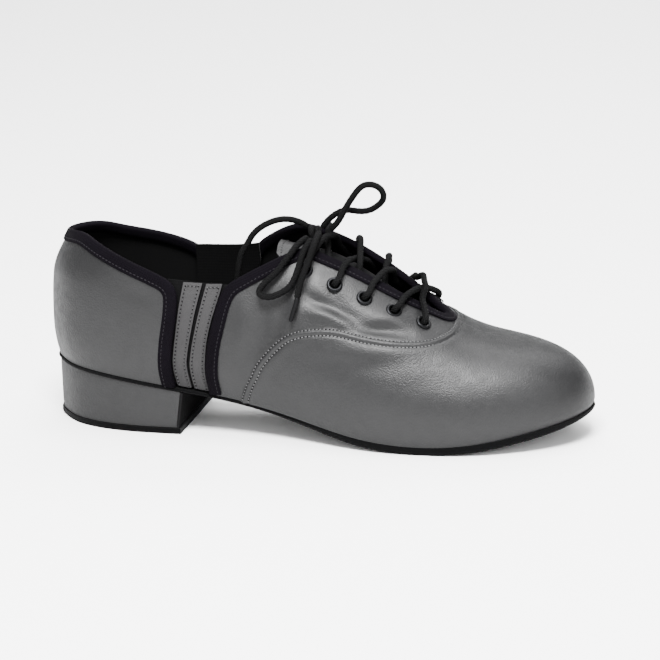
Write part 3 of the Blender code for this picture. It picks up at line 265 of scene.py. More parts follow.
def along(points: Array) -> Array:
    """How far along a line each of its places lies."""
    return np.concatenate([[0], np.cumsum(np.linalg.norm(np.diff(points, axis=0), axis=1))])


def unit(rows: Array) -> Array:
    """Each row at length one."""
    return rows / np.linalg.norm(rows, axis=1, keepdims=True)


def cubic(a: Array, b: Array, hh: Array, y: Array, m: Array, i: Array) -> Array:
    """Values between the knots i and i + 1 with values y and bends m."""
    return a * y[i] + b * y[i + 1] + ((a ** 3 - a) * m[i] + (b ** 3 - b) * m[i + 1]) * hh


class Spline:
    """Natural cubic spline through a short table."""

    def __init__(self, knots: Sequence, values: Sequence) -> None:
        """Solves for the bend at each knot.

        Args:
            knots: places along the table.
            values: a value, or a row of values, at each.
        """
        self.x = np.asarray(knots, float)
        self.y = np.asarray(values, float)
        n = len(self.x)
        h = np.diff(self.x)
        a = np.eye(n)
        r = np.zeros(self.y.shape)
        for i in range(1, n - 1):
            a[i, i - 1:i + 2] = (h[i - 1], 2 * (h[i - 1] + h[i]), h[i])
            r[i] = 6 * ((self.y[i + 1] - self.y[i]) / h[i] - (self.y[i] - self.y[i - 1]) / h[i - 1])
        self.m = np.linalg.solve(a, r)

    def __call__(self, t: Array) -> Array:
        """Values at some places.

        Args:
            t: places along the table.

        Returns:
            A value or a row of values for each.
        """
        t = np.asarray(t, float)
        i = np.clip(np.searchsorted(self.x, t) - 1, 0, len(self.x) - 2)
        h = self.x[i + 1] - self.x[i]
        a = (self.x[i + 1] - t) / h
        b = (t - self.x[i]) / h
        hh = h * h / 6
        if self.y.ndim == 2:
            a, b, hh = a[..., None], b[..., None], hh[..., None]
        return cubic(a, b, hh, self.y, self.m, i)

    def slope(self, t: Array) -> Array:
        """Slopes at some places."""
        return (self(np.asarray(t) + 1e-4) - self(np.asarray(t) - 1e-4)) / 2e-4


class Ring:
    """Closed cubic spline through plan points."""

    def __init__(self, points: Sequence) -> None:
        """Solves for the bend at each point.

        Args:
            points: x and y of each, in order round the outline.
        """
        p = np.asarray(points, float)
        n = len(p)
        step = np.roll(p, -1, 0) - p
        d = np.hypot(step[:, 0], step[:, 1]) ** 0.75
        self.k = np.concatenate([[0], np.cumsum(d)])
        self.k /= self.k[-1]
        self.p = np.vstack([p, p[:1]])
        h = np.diff(self.k)
        a = np.zeros((n, n))
        r = np.zeros((n, 2))
        for i in range(n):
            j, k = (i - 1) % n, (i + 1) % n
            a[i, j] += h[j]
            a[i, i] += 2 * (h[j] + h[i])
            a[i, k] += h[i]
            r[i] = 6 * ((p[k] - p[i]) / h[i] - (p[i] - p[j]) / h[j])
        m = np.linalg.solve(a, r)
        self.m = np.vstack([m, m[:1]])

    def __call__(self, u: Array) -> Array:
        """Places on the outline.

        Args:
            u: shares of the way round.

        Returns:
            x and y for each.
        """
        u = np.mod(np.asarray(u, float), 1.0)
        i = np.clip(np.searchsorted(self.k, u, side="right") - 1, 0, len(self.k) - 2)
        h = self.k[i + 1] - self.k[i]
        a = ((self.k[i + 1] - u) / h)[..., None]
        b = ((u - self.k[i]) / h)[..., None]
        hh = (h * h)[..., None] / 6
        return cubic(a, b, hh, self.p, self.m, i)


def ease(s: Array, v0: float, v1: float, m0: float, m1: float, width: float) -> Array:
    """Cubic between two values with given slopes."""
    return ((2 * s ** 3 - 3 * s ** 2 + 1) * v0 + (s ** 3 - 2 * s ** 2 + s) * m0 * width
            + (-2 * s ** 3 + 3 * s ** 2) * v1 + (s ** 3 - s ** 2) * m1 * width)


def smooth(t: Array) -> Array:
    """Soft step from nought to one."""
    t = np.clip(t, 0.0, 1.0)
    return t * t * (3 - 2 * t)


class Form:
    """The surface that the upper follows."""

    def __init__(self) -> None:
        """Fits the curves to the tables."""
        lateral = [(0.0, 0.0)] + [(s * LENGTH, -a * BALL_WIDTH) for s, a, b in PLAN] + [(LENGTH, TOE_Y)]
        medial = [(s * LENGTH, b * BALL_WIDTH) for s, a, b in PLAN[::-1]]
        self.ring = Ring(lateral + medial)
        self.feather = Spline([r[0] for r in SOLE], [r[1] for r in SOLE])
        self.sole = Spline([r[0] for r in SOLE], [r[2] for r in SOLE])
        self.ridge = Spline([t for t, h in RIDGE], [h * INSTEP for t, h in RIDGE])
        self.centre = Spline(*zip(*CENTRE))
        cols = list(zip(*SECTION))
        self.tuck, self.rise, self.p, self.q = (Spline(cols[0], c) for c in cols[1:])
        u = np.linspace(0, 1, 4001)
        x = self.ring(u)[:, 0]
        toe = int(np.argmax(x))
        self.toe_u = float(u[toe])
        self.lat = (np.maximum.accumulate(x[:toe + 1]), u[:toe + 1])
        self.med = (np.maximum.accumulate(x[toe:][::-1]), u[toe:][::-1])

    def round_of(self, station: Array, side: int) -> Array:
        """Round share of a station on one side."""
        table = self.lat if side < 0 else self.med
        return np.interp(np.asarray(station, float) * LENGTH, table[0], table[1])

    def spine(self, t: Array) -> Array:
        """Station on the middle line that each outline place is joined to.

        Args:
            t: stations of the outline places.

        Returns:
            A station for each.
        """
        low = ease(np.clip(t / 0.36, 0, 1), 0.15, 0.36, 0.25, 1.0, 0.36)
        high = ease(np.clip((t - 0.62) / 0.38, 0, 1), 0.62, 0.855, 1.0, 0.25, 0.38)
        return np.where(t < 0.36, low, np.where(t > 0.62, high, t))

    def at(self, u: Array, v: Array) -> Array:
        """Points of the form in millimetres.

        Args:
            u, v: round shares and ups.

        Returns:
            A place for each.
        """
        u, v = np.broadcast_arrays(np.asarray(u, float), np.asarray(v, float))
        o = self.ring(u)
        t = np.clip(o[..., 0] / LENGTH, 0, 1)
        sx = self.spine(t)
        c = np.stack([sx * LENGTH, self.centre(sx)], -1)
        d = o - c
        rf = 1 - self.tuck(t) / np.hypot(d[..., 0], d[..., 1])
        zf = self.feather((c[..., 0] + d[..., 0] * rf) / LENGTH)
        zw = zf + self.rise(t)
        fall = self.ridge.slope(sx) / LENGTH * d[..., 0]
        s = np.clip(v / WIDEST, 0, 1)
        w = np.clip((v - WIDEST) / (1 - WIDEST), 0, 1)
        low = v < WIDEST
        rho = np.where(low, 1 - (1 - rf) * (1 - s) ** 2, 1 - w ** 2)
        top = np.maximum(1 - (1 - w ** 2) ** (2 / self.p(t)), 0) ** (self.q(t) / 2)
        z = np.where(low, zf + (zw - zf) * s, zw - fall * (1 - rho) + (self.ridge(sx) - zw + fall) * top)
        lean = HEEL_LEAN * smooth((w - 0.18) / 0.22) * (1 - smooth(t / 0.2))
        xy = c + d * (rho - lean)[..., None]
        return np.concatenate([xy, z[..., None]], -1)

    def frame(self, u: Array, v: Array, e: float = 1e-3) -> tuple[Array, Array, Array, Array]:
        """Points, outward normals and the slopes by round and by up.

        Args:
            u, v: round shares and ups.
            e: step for the slopes.

        Returns:
            Places, normals, slopes by round and slopes by up.
        """
        u, v = np.broadcast_arrays(np.asarray(u, float), np.asarray(v, float))
        hi, lo = np.minimum(v + e, 1.0), np.maximum(v - e, 0.0)
        su = (self.at(u + e, v) - self.at(u - e, v)) / (2 * e)
        sv = (self.at(u, hi) - self.at(u, lo)) / (hi - lo)[..., None]
        n = np.cross(su, sv)
        n /= np.maximum(np.linalg.norm(n, axis=-1, keepdims=True), 1e-12)
        return self.at(u, v), n, su, sv

    def edge(self, rows: Sequence, side: int, step: float = 1.5) -> Array:
        """Even places along an edge given as stations and ups.

        Args:
            rows: stations and ups.
            side: LATERAL or MEDIAL.
            step: distance between places.

        Returns:
            Round shares and ups.
        """
        uv = np.array([(self.round_of(s, side), v) for s, v in rows])
        if side > 0:
            uv[:, 0] = np.where(uv[:, 0] < 0.5, uv[:, 0] + 1.0, uv[:, 0])
        return self.even(uv, step)

    def even(self, uv: Array, step: float) -> Array:
        """Even places along a smooth curve through some places.

        Args:
            uv: round shares and ups.
            step: distance between places.

        Returns:
            Round shares and ups.
        """
        p = self.at(uv[:, 0], uv[:, 1])
        k = along(p)
        curve = Spline(k, uv)
        fine = np.linspace(0, k[-1], 600)
        q = curve(fine)
        q[:, 1] = np.clip(q[:, 1], 0, 1)
        p = self.at(q[:, 0], q[:, 1])
        k = along(p)
        n = max(int(round(k[-1] / step)), 2)
        want = np.linspace(0, k[-1], n + 1)
        return np.stack([np.interp(want, k, q[:, 0]), np.interp(want, k, q[:, 1])], -1)

    def walk(self, uv: Array, away: Array, dist: float) -> Array:
        """Places at a distance from some places, in a direction along the surface.

        Args:
            uv: round shares and ups.
            away: direction at each place.
            dist: how far to go.

        Returns:
            Round shares and ups.
        """
        uv = uv.copy()
        for _ in range(3):
            _, n, su, sv = self.frame(uv[:, 0], uv[:, 1])
            d = away - n * (away * n).sum(1, keepdims=True)
            d = unit(d)
            for i in range(len(uv)):
                m = np.stack([su[i], sv[i]], 1)
                uv[i] += np.linalg.lstsq(m, d[i] * dist / 3, rcond=None)[0]
            uv[:, 1] = np.clip(uv[:, 1], 0, 1)
        return uv


FORM = Form()


@dataclass(frozen=True)
class Crease:
    """A soft trough or ridge drawn along a line, seen from the side.

    Attributes:
        side: LATERAL or MEDIAL.
        line: x and z of its points.
        width: half width where it has faded to a third.
        height: over the form, negative for a trough.
    """

    side: int
    line: tuple
    width: float
    height: float


CREASES = (
    Crease(LATERAL, ((143, 77), (148.6, 74.2), (156.5, 71.6), (164.3, 68), (172.9, 65.2)), 2.9, -2.1),
    Crease(LATERAL, ((147, 68.6), (157, 66.8), (166, 63.4)), 2.8, 1.2),
    Crease(LATERAL, ((170, 62.6), (178, 61.2), (188, 60.2), (196, 58)), 2.7, -2.1),
    Crease(LATERAL, ((178, 67.2), (188, 64), (197, 60.8)), 3.2, 1.2),
    Crease(LATERAL, ((153, 80), (160, 74.6), (166, 71.4)), 2.6, -1.0),
    Crease(LATERAL, ((119.7, 76), (122.4, 67.4), (122.3, 57), (119, 48)), 4.4, -1.3),
    Crease(LATERAL, ((110.5, 72), (112.4, 62), (111.6, 50)), 4.2, 0.8),
    Crease(LATERAL, ((132.6, 76), (131, 64), (128, 52)), 4.0, -1.0),
    Crease(LATERAL, ((137.6, 79), (140, 70), (140.6, 62)), 3.6, 0.9),
    Crease(LATERAL, ((150, 52), (165, 51), (182, 50.6), (200, 49.6)), 3.4, 0.45),
    Crease(LATERAL, ((150, 44.4), (170, 43.4), (190, 44.6), (208, 47)), 4.6, -0.55),
    Crease(LATERAL, ((206, 53), (216, 50), (227, 43)), 5.0, 0.5),
    Crease(LATERAL, ((196, 36), (212, 38), (230, 33)), 6.0, -0.4),
    Crease(LATERAL, ((50, 77), (60, 73.6), (67, 69)), 3.4, -0.35),
    Crease(LATERAL, ((40, 62), (44, 48), (43, 38)), 9.0, -0.35),
    Crease(MEDIAL, ((143, 80), (153, 76), (164, 71), (174, 68)), 3.4, -1.0),
    Crease(MEDIAL, ((172, 64), (184, 62), (197, 58)), 3.2, -0.95),
    Crease(MEDIAL, ((150, 70), (162, 67)), 3.4, 0.5),
    Crease(MEDIAL, ((118, 78), (121, 66), (119, 52)), 4.6, -0.7),
    Crease(MEDIAL, ((133, 76), (131, 62)), 4.4, -0.5),
    Crease(MEDIAL, ((160, 44), (180, 43), (204, 46)), 4.8, -0.5),
    Crease(MEDIAL, ((206, 53), (218, 49), (228, 42)), 5.0, 0.45),
)


def bumps(points: Array, u: Array) -> Array:
    """Adds up the creases at some places.

    Args:
        points: places in form measures, one a row.
        u: their round shares, which tell the side.

    Returns:
        Height over the form for each place.
    """
    out = np.zeros(len(points))
    share = np.mod(u, 1.0)
    for c in CREASES:
        mine = (share < FORM.toe_u) if c.side == LATERAL else (share > FORM.toe_u)
        line = np.array(c.line)
        k = along(line)
        fine = Spline(k, line)(np.linspace(0, k[-1], 40))
        d = np.hypot(points[:, None, 0] - fine[None, :, 0], points[:, None, 2] - fine[None, :, 1])
        at = d.argmin(1) / 39.0
        fade = 0.35 + 0.65 * np.sin(np.pi * np.clip(at, 0.0, 1.0))
        out += np.where(mine, c.height * fade * np.exp(-(d.min(1) / c.width) ** 2), 0.0)
    return out


class Pattern(Enum):
    """Kinds of fine surface relief."""

    GRAIN = "grain"
    WEAVE = "weave"
    RIB = "rib"
    NAP = "nap"
    PLAIN = "plain"


@dataclass(frozen=True)
class Finish:
    """How one material looks.

    Attributes:
        colour: base colour, linear.
        rough: roughness.
        pattern: kind of fine relief.
        scale: repeats a metre.
        depth: height of the relief in metres.
        vary: how much the colour changes over wide patches.
        metal, sheen, coat, specular: strengths.
        coat_rough: roughness of the coat.
        rough_vary: how much the roughness changes over wide patches.
    """

    colour: tuple
    rough: float
    pattern: Pattern = Pattern.PLAIN
    scale: float = 900.0
    depth: float = 0.0001
    vary: float = 0.0
    metal: float = 0.0
    sheen: float = 0.0
    coat: float = 0.0
    coat_rough: float = 0.4
    specular: float = 0.5
    rough_vary: float = 0.0


FINISHES = {
    "leather": Finish(
        colour=(0.0058, 0.0058, 0.0061), rough=0.42, pattern=Pattern.GRAIN, scale=1250.0, depth=0.00013,
        vary=0.12, coat_rough=0.3, specular=0.25, rough_vary=0.10,
    ),
    "heel": Finish(
        colour=(0.0078, 0.0078, 0.0081), rough=0.5, pattern=Pattern.GRAIN, scale=1100.0, depth=0.00014,
        vary=0.06, coat_rough=0.35, specular=0.22, rough_vary=0.06,
    ),
    "strip": Finish(
        colour=(0.0200, 0.0195, 0.0201), rough=0.72, pattern=Pattern.GRAIN, scale=1500.0, depth=0.00018,
        vary=0.12, specular=0.1, rough_vary=0.05,
    ),
    "lining": Finish(
        colour=(0.0010, 0.0010, 0.0011), rough=0.95, pattern=Pattern.NAP, scale=2200.0, vary=0.25,
        sheen=0.03, specular=0.05,
    ),
    "sock": Finish(
        colour=(0.0013, 0.0013, 0.0014), rough=0.95, pattern=Pattern.NAP, scale=1500.0, depth=0.00015,
        vary=0.25, sheen=0.03, specular=0.05,
    ),
    "tape": Finish(
        colour=(0.0017, 0.0013, 0.0021), rough=0.8, pattern=Pattern.WEAVE, depth=0.0003, vary=0.2,
        specular=0.02,
    ),
    "elastic": Finish(
        colour=(0.0010, 0.0010, 0.0011), rough=0.85, pattern=Pattern.RIB, vary=0.1, sheen=0.02,
        specular=0.05,
    ),
    "lace": Finish(
        colour=(0.0030, 0.0030, 0.0031), rough=0.7, pattern=Pattern.WEAVE, scale=760.0, depth=0.00045,
        vary=0.2, specular=0.025,
    ),
    "aglet": Finish(
        colour=(0.0032, 0.0032, 0.0034), rough=0.45, specular=0.04,
    ),
    "suede": Finish(
        colour=(0.0009, 0.0009, 0.001), rough=0.97, pattern=Pattern.NAP, scale=1700.0, depth=0.00025,
        vary=0.3, sheen=0.03, specular=0.04,
    ),
    "breast": Finish(
        colour=(0.0056, 0.0055, 0.0057), rough=0.8, pattern=Pattern.NAP, depth=0.00004, vary=0.1,
        specular=0.0,
    ),
    "metal": Finish(
        colour=(0.0055, 0.0056, 0.0062), rough=0.38, pattern=Pattern.NAP, scale=1500.0, depth=0.00002,
        vary=0.1, metal=0.9, coat_rough=0.2, specular=0.3,
    ),
    "thread": Finish(
        colour=(0.0750, 0.0750, 0.0760), rough=0.6, specular=0.1,
    ),
    "thread_grey": Finish(
        colour=(0.0300, 0.0300, 0.0306), rough=0.6, specular=0.1,
    ),
    "thread_dark": Finish(
        colour=(0.0055, 0.0048, 0.0062), rough=0.7, specular=0.1,
    ),
    # near-black beads laid between the stitches: painted shade of the needle holes
    "needle_hole": Finish(
        colour=(0.0012, 0.0012, 0.0013), rough=0.9, specular=0.03,
    ),
    "floor": Finish(
        colour=(0.86, 0.86, 0.862), rough=0.75,
    ),
}


def new_object(name: str, data: bpy.types.ID) -> Thing:
    """An object with its data, put into the scene."""
    obj = bpy.data.objects.new(name, data)
    bpy.context.collection.objects.link(obj)
    return obj


def wire(tree: Tree, rows: Sequence) -> None:
    """Links nodes.

    Args:
        tree: their node tree.
        rows: a node, its output, the next node and its input, for each link.
    """
    for source, out, goal, into in rows:
        tree.links.new(source.outputs[out], goal.inputs[into])


def preset(node: bpy.types.Node, *values: tuple) -> None:
    """Sets a node's inputs from pairs of a name and a value."""
    for name, value in values:
        node.inputs[name].default_value = value


class Finishes:
    """Makes each material once, from shared node groups."""

    def __init__(self) -> None:
        """Makes the shared node groups."""
        self.made = {}
        self.groups = {
            Pattern.GRAIN: self.grain_group(),
            Pattern.NAP: self.nap_group(),
            Pattern.WEAVE: self.weave_group("weave", True),
            Pattern.RIB: self.weave_group("rib", False),
        }
        self.patches = self.patch_group()

    @staticmethod
    def new_group(name: str, inputs: Sequence, outputs: Sequence) -> tuple:
        """An empty shader group with its sockets and its two end nodes.

        Args:
            name: of the group.
            inputs, outputs: label and kind of each socket.

        Returns:
            The tree, its input node and its output node.
        """
        tree = bpy.data.node_groups.new(name, "ShaderNodeTree")
        for label, kind in inputs:
            tree.interface.new_socket(label, in_out="INPUT", socket_type=kind)
        for label, kind in outputs:
            tree.interface.new_socket(label, in_out="OUTPUT", socket_type=kind)
        return tree, tree.nodes.new("NodeGroupInput"), tree.nodes.new("NodeGroupOutput")

    SPOT = (("Vector", "NodeSocketVector"), ("Scale", "NodeSocketFloat"))
    RELIEF = (("Height", "NodeSocketFloat"),)

    def grain_group(self) -> Tree:
        """Pebbled leather with fine pores and stretched wrinkles.

        Returns:
            The group.
        """
        tree, given, out = self.new_group("leather_grain", self.SPOT, self.RELIEF)
        add = tree.nodes.new
        warp = add("ShaderNodeTexNoise")
        preset(warp, ("Scale", 260.0), ("Detail", 2.0))
        shift = add("ShaderNodeVectorMath")
        shift.operation = "MULTIPLY_ADD"
        shift.inputs[1].default_value = (0.0016, 0.0016, 0.0016)
        cells = add("ShaderNodeTexVoronoi")
        cells.feature = "SMOOTH_F1"
        cells.inputs["Smoothness"].default_value = 0.55
        fine = add("ShaderNodeTexNoise")
        fine.inputs["Detail"].default_value = 3.0
        twice = add("ShaderNodeMath")
        twice.operation = "MULTIPLY"
        twice.inputs[1].default_value = 1.9
        wide = add("ShaderNodeTexNoise")
        preset(wide, ("Scale", 34.0), ("Detail", 2.0))
        spread_map = add("ShaderNodeMapRange")
        preset(spread_map, ("From Min", 0.38), ("From Max", 0.66), ("To Min", 0.65))
        both = add("ShaderNodeMath")
        both.operation = "MULTIPLY_ADD"
        both.inputs[1].default_value = -1.0
        level = add("ShaderNodeMath")
        level.operation = "MULTIPLY"
        wire(tree, (
            (given, "Vector", warp, "Vector"), (warp, "Color", shift, 0), (given, "Vector", shift, 2),
            (shift, 0, cells, "Vector"), (given, "Scale", cells, "Scale"), (given, "Scale", twice, 0),
            (twice, 0, fine, "Scale"), (shift, 0, fine, "Vector"), (given, "Vector", wide, "Vector"),
            (wide, "Fac", spread_map, "Value"), (cells, "Distance", both, 0), (fine, "Fac", both, 2),
            (both, 0, level, 0), (spread_map, 0, level, 1), (level, 0, out, "Height"),
        ))
        return tree

    def nap_group(self) -> Tree:
        """Brushed fibres.

        Returns:
            The group.
        """
        tree, given, out = self.new_group("nap", self.SPOT, self.RELIEF)
        add = tree.nodes.new
        noise = add("ShaderNodeTexNoise")
        preset(noise, ("Detail", 4.0), ("Roughness", 0.7))
        wire(tree, (
            (given, "Vector", noise, "Vector"), (given, "Scale", noise, "Scale"),
            (noise, "Fac", out, "Height"),
        ))
        return tree

    def weave_group(self, name: str, both_ways: bool) -> Tree:
        """Threads across and along, or ribs along one way only.

        Args:
            name: of the group.
            both_ways: True for a weave, False for ribs.

        Returns:
            The group.
        """
        tree, given, out = self.new_group(name, self.SPOT, self.RELIEF)
        add, link = tree.nodes.new, tree.links.new
        parts = add("ShaderNodeSeparateXYZ")
        link(given.outputs["Vector"], parts.inputs[0])
        waves = []
        for axis in ("X", "Y"):
            times = add("ShaderNodeMath")
            times.operation = "MULTIPLY"
            link(parts.outputs[axis], times.inputs[0])
            link(given.outputs["Scale"], times.inputs[1])
            turn = add("ShaderNodeMath")
            turn.operation = "MULTIPLY"
            turn.inputs[1].default_value = 6.2832
            link(times.outputs[0], turn.inputs[0])
            wave = add("ShaderNodeMath")
            wave.operation = "SINE"
            link(turn.outputs[0], wave.inputs[0])
            waves.append(wave)
        joined = add("ShaderNodeMath")
        joined.operation = "MULTIPLY" if both_ways else "MAXIMUM"
        link(waves[0].outputs[0], joined.inputs[0])
        link(waves[1].outputs[0], joined.inputs[1])
        half = add("ShaderNodeMath")
        half.operation = "MULTIPLY_ADD"
        preset(half, (1, 0.5), (2, 0.5))
        link(joined.outputs[0], half.inputs[0])
        link(half.outputs[0], out.inputs["Height"])
        return tree

    def patch_group(self) -> Tree:
        """Wide soft patches and fine scuffs, each from nought to one.

        Returns:
            The group.
        """
        outs = (("Patch", "NodeSocketFloat"), ("Scuff", "NodeSocketFloat"))
        tree, given, out = self.new_group("wear_patches", self.SPOT[:1], outs)
        add, link = tree.nodes.new, tree.links.new
        kinds = (("Patch", 28.0, 3.0, 0.3, 0.7), ("Scuff", 210.0, 5.0, 0.45, 0.75))
        for label, scale, detail, low, high in kinds:
            noise = add("ShaderNodeTexNoise")
            preset(noise, ("Scale", scale), ("Detail", detail))
            spread_map = add("ShaderNodeMapRange")
            preset(spread_map, ("From Min", low), ("From Max", high))
            link(given.outputs["Vector"], noise.inputs["Vector"])
            link(noise.outputs["Fac"], spread_map.inputs["Value"])
            link(spread_map.outputs[0], out.inputs[label])
        return tree

    def material(self, name: str) -> bpy.types.Material:
        """The material of a finish.

        Args:
            name: key in FINISHES.

        Returns:
            The material.
        """
        if name in self.made:
            return self.made[name]
        f = FINISHES[name]
        mat = bpy.data.materials.new(name)
        mat.use_nodes = True
        nodes, link = mat.node_tree.nodes, mat.node_tree.links.new
        shader = nodes["Principled BSDF"]
        shader.inputs["Metallic"].default_value = f.metal
        if f.pattern == Pattern.GRAIN:
            # worn grain shadows itself at a low angle, so its gloss fades there
            angle = nodes.new("ShaderNodeLayerWeight")
            angle.inputs["Blend"].default_value = 0.5
            fade = nodes.new("ShaderNodeMath")
            fade.operation = "MULTIPLY_ADD"
            preset(fade, (1, -f.specular), (2, f.specular))
            link(angle.outputs["Facing"], fade.inputs[0])
            link(fade.outputs[0], shader.inputs["Specular IOR Level"])
        else:
            shader.inputs["Specular IOR Level"].default_value = f.specular
        preset(shader, ("Sheen Weight", f.sheen), ("Sheen Roughness", 0.45))
        preset(shader, ("Coat Weight", f.coat), ("Coat Roughness", f.coat_rough))
        spot = nodes.new("ShaderNodeTexCoord")
        wear = nodes.new("ShaderNodeGroup")
        wear.node_tree = self.patches
        link(spot.outputs["Object"], wear.inputs["Vector"])
        blend = nodes.new("ShaderNodeMix")
        blend.data_type = "RGBA"
        dark = [c * (1 - f.vary) for c in f.colour]
        light = [c * (1 + f.vary) for c in f.colour]
        preset(blend, ("A", (*dark, 1.0)), ("B", (*light, 1.0)))
        link(wear.outputs["Patch"], blend.inputs["Factor"])
        link(blend.outputs["Result"], shader.inputs["Base Color"])
        change = nodes.new("ShaderNodeMath")
        change.operation = "MULTIPLY_ADD"
        preset(change, (1, f.rough_vary), (2, f.rough))
        link(wear.outputs["Scuff"], change.inputs[0])
        link(change.outputs[0], shader.inputs["Roughness"])
        if f.pattern != Pattern.PLAIN:
            relief = nodes.new("ShaderNodeGroup")
            relief.node_tree = self.groups[f.pattern]
            relief.inputs["Scale"].default_value = f.scale
            flat = f.pattern in (Pattern.WEAVE, Pattern.RIB)
            link(spot.outputs["UV" if flat else "Object"], relief.inputs["Vector"])
            bump = nodes.new("ShaderNodeBump")
            preset(bump, ("Strength", 1.0), ("Distance", f.depth))
            link(relief.outputs["Height"], bump.inputs["Height"])
            link(bump.outputs["Normal"], shader.inputs["Normal"])
        self.made[name] = mat
        return mat


@dataclass
class Mesher:
    """Makes finished objects from rows of places."""

    finishes: Finishes

    def place(self, points: Array) -> Array:
        """Form measures to metres in the row frame."""
        return (np.asarray(points, float) - MIDDLE) * MM

    def make(
            self, name: str, points: Array, faces: Sequence, finish: str, uv: Array | None = None,
            sharp: float = 38.0, weld: float = 0.0,
    ) -> Thing:
        """One object riding on the shoe.

        Args:
            name: piece name.
            points: places in form measures.
            faces: lists of point numbers.
            finish: name of its finish.
            uv: a pair in metres for each point, or None.
            sharp: edges bent more than this many degrees stay sharp.
            weld: places closer than this are made one.

        Returns:
            The object.
        """
        mesh = bpy.data.meshes.new(name)
        mesh.from_pydata(self.place(points).tolist(), [], [list(map(int, f)) for f in faces])
        if uv is not None:
            layer = mesh.uv_layers.new(name="UVMap")
            index = np.zeros(len(mesh.loops), int)
            mesh.loops.foreach_get("vertex_index", index)
            layer.data.foreach_set("uv", (np.asarray(uv, float)[index] * MM).ravel())
        if weld:
            work = bmesh.new()
            work.from_mesh(mesh)
            bmesh.ops.remove_doubles(work, verts=work.verts, dist=weld * MM)
            work.to_mesh(mesh)
            work.free()
        mesh.update()
        self.outward(mesh)
        mesh.shade_smooth()
        mesh.set_sharp_from_angle(angle=math.radians(sharp))
        mesh.materials.append(self.finishes.material(finish))
        obj = new_object(name, mesh)
        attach(obj, "root")
        LOG.info("made %s", name)
        return obj

    @staticmethod
    def outward(mesh: bpy.types.Mesh) -> None:
        """Turns the faces outward if the body is inside out.

        Args:
            mesh: the mesh to check.
        """
        count = len(mesh.vertices)
        co = np.zeros(count * 3)
        mesh.vertices.foreach_get("co", co)
        co = co.reshape(-1, 3)
        mesh.calc_loop_triangles()
        tri = np.zeros(len(mesh.loop_triangles) * 3, int)
        mesh.loop_triangles.foreach_get("vertices", tri)
        a, b, c = (co[tri.reshape(-1, 3)[:, i]] for i in range(3))
        if (a * np.cross(b, c)).sum() < 0:
            mesh.flip_normals()

    @staticmethod
    def quads(rows: int, cols: int, wrap: bool = False) -> Array:
        """Faces of a grid that is stored row by row.

        Args:
            rows, cols: size of the grid.
            wrap: whether the last column joins the first.

        Returns:
            Four point numbers for each face.
        """
        r = np.arange(rows - 1)[:, None]
        c = np.arange(cols if wrap else cols - 1)[None, :]
        n = (c + 1) % cols
        corners = [r * cols + c, r * cols + n, (r + 1) * cols + n, (r + 1) * cols + c]
        return np.stack(corners, -1).reshape(-1, 4)

    def slab(
            self, name: str, outer: Array, inner: Array, rows: int, cols: int, finish: str,
            uv: Array | None = None, skip: Callable | None = None, weld: float = 0.0, sharp: float = 38.0,
    ) -> Thing:
        """A sheet with a thickness, from two matching grids of places.

        Args:
            name: piece name.
            outer, inner: the places of both faces, row by row.
            rows, cols: size of the grid.
            finish: name of its finish.
            uv: a pair for each place of a face.
            skip: True for each grid face that is a hole.
            weld, sharp: as in make.

        Returns:
            The object.
        """
        faces = self.quads(rows, cols)
        if skip is not None:
            faces = faces[~skip(outer[faces].mean(1))]
        n = len(outer)
        pairs = np.concatenate([faces[:, [i, (i + 1) % 4]] for i in range(4)])
        key = pairs[:, 0].astype(np.int64) * n + pairs[:, 1]
        back = pairs[:, 1].astype(np.int64) * n + pairs[:, 0]
        rim = pairs[~np.isin(back, key)]
        side = np.stack([rim[:, 1], rim[:, 0], rim[:, 0] + n, rim[:, 1] + n], -1)
        every = np.vstack([faces, faces[:, ::-1] + n, side])
        points = np.vstack([outer, inner])
        both = None if uv is None else np.vstack([uv, uv])
        return self.make(name, points, every, finish, both, sharp, weld)

    def loft(
            self, name: str, stations: Sequence, finish: str, uv: Array | None = None,
            closed: bool = False, sharp: float = 38.0, weld: float = 0.0,
    ) -> Thing:
        """Joins closed sections, each with the same number of places, into a body.

        Args:
            name: piece name.
            stations: places of each section.
            finish: name of its finish.
            uv, sharp, weld: as in make.
            closed: whether the last section joins the first.

        Returns:
            The object.
        """
        stations = np.asarray(stations, float)
        n, k = stations.shape[:2]
        rows = n + 1 if closed else n
        faces = self.quads(rows, k, True)
        faces = (faces % (n * k)).tolist()
        if not closed:
            faces.append(list(range(k))[::-1])
            faces.append([(n - 1) * k + a for a in range(k)])
        return self.make(name, stations.reshape(-1, 3), faces, finish, uv, sharp, weld)


def spread(points: Array) -> Array:
    """Share of the way along a line at each of its places."""
    k = along(points)
    return k / k[-1]


def evenly(uv: Array, count: int) -> Array:
    """The same line with a count of places that lie evenly on the form.

    Args:
        uv: round shares and ups.
        count: number of places.

    Returns:
        Round shares and ups.
    """
    k = spread(FORM.at(uv[:, 0], uv[:, 1]))
    want = np.linspace(0, 1, count)
    return np.stack([np.interp(want, k, uv[:, 0]), np.interp(want, k, uv[:, 1])], -1)


def away_from(uv: Array, sign: float) -> tuple[Array, Array, Array]:
    """Places of a line on the form with outward normals and the way across the line.

    Args:
        uv: round shares and ups.
        sign: which way across, 1 or -1.

    Returns:
        Places, normals and ways across.
    """
    p, n, _, _ = FORM.frame(uv[:, 0], uv[:, 1])
    t = np.gradient(p, axis=0)
    across = np.cross(n, t) * sign
    across = unit(across)
    return p, n, across


def distance(points: Array, line: Array) -> Array:
    """Least distance from each place to a line of close places.

    Args:
        points: places, one a row.
        line: close places along the line.

    Returns:
        A distance for each place.
    """
    out = np.empty(len(points))
    for i in range(0, len(points), 2000):
        part = points[i:i + 2000]
        out[i:i + 2000] = np.sqrt(((part[:, None] - line[None]) ** 2).sum(-1).min(1))
    return out


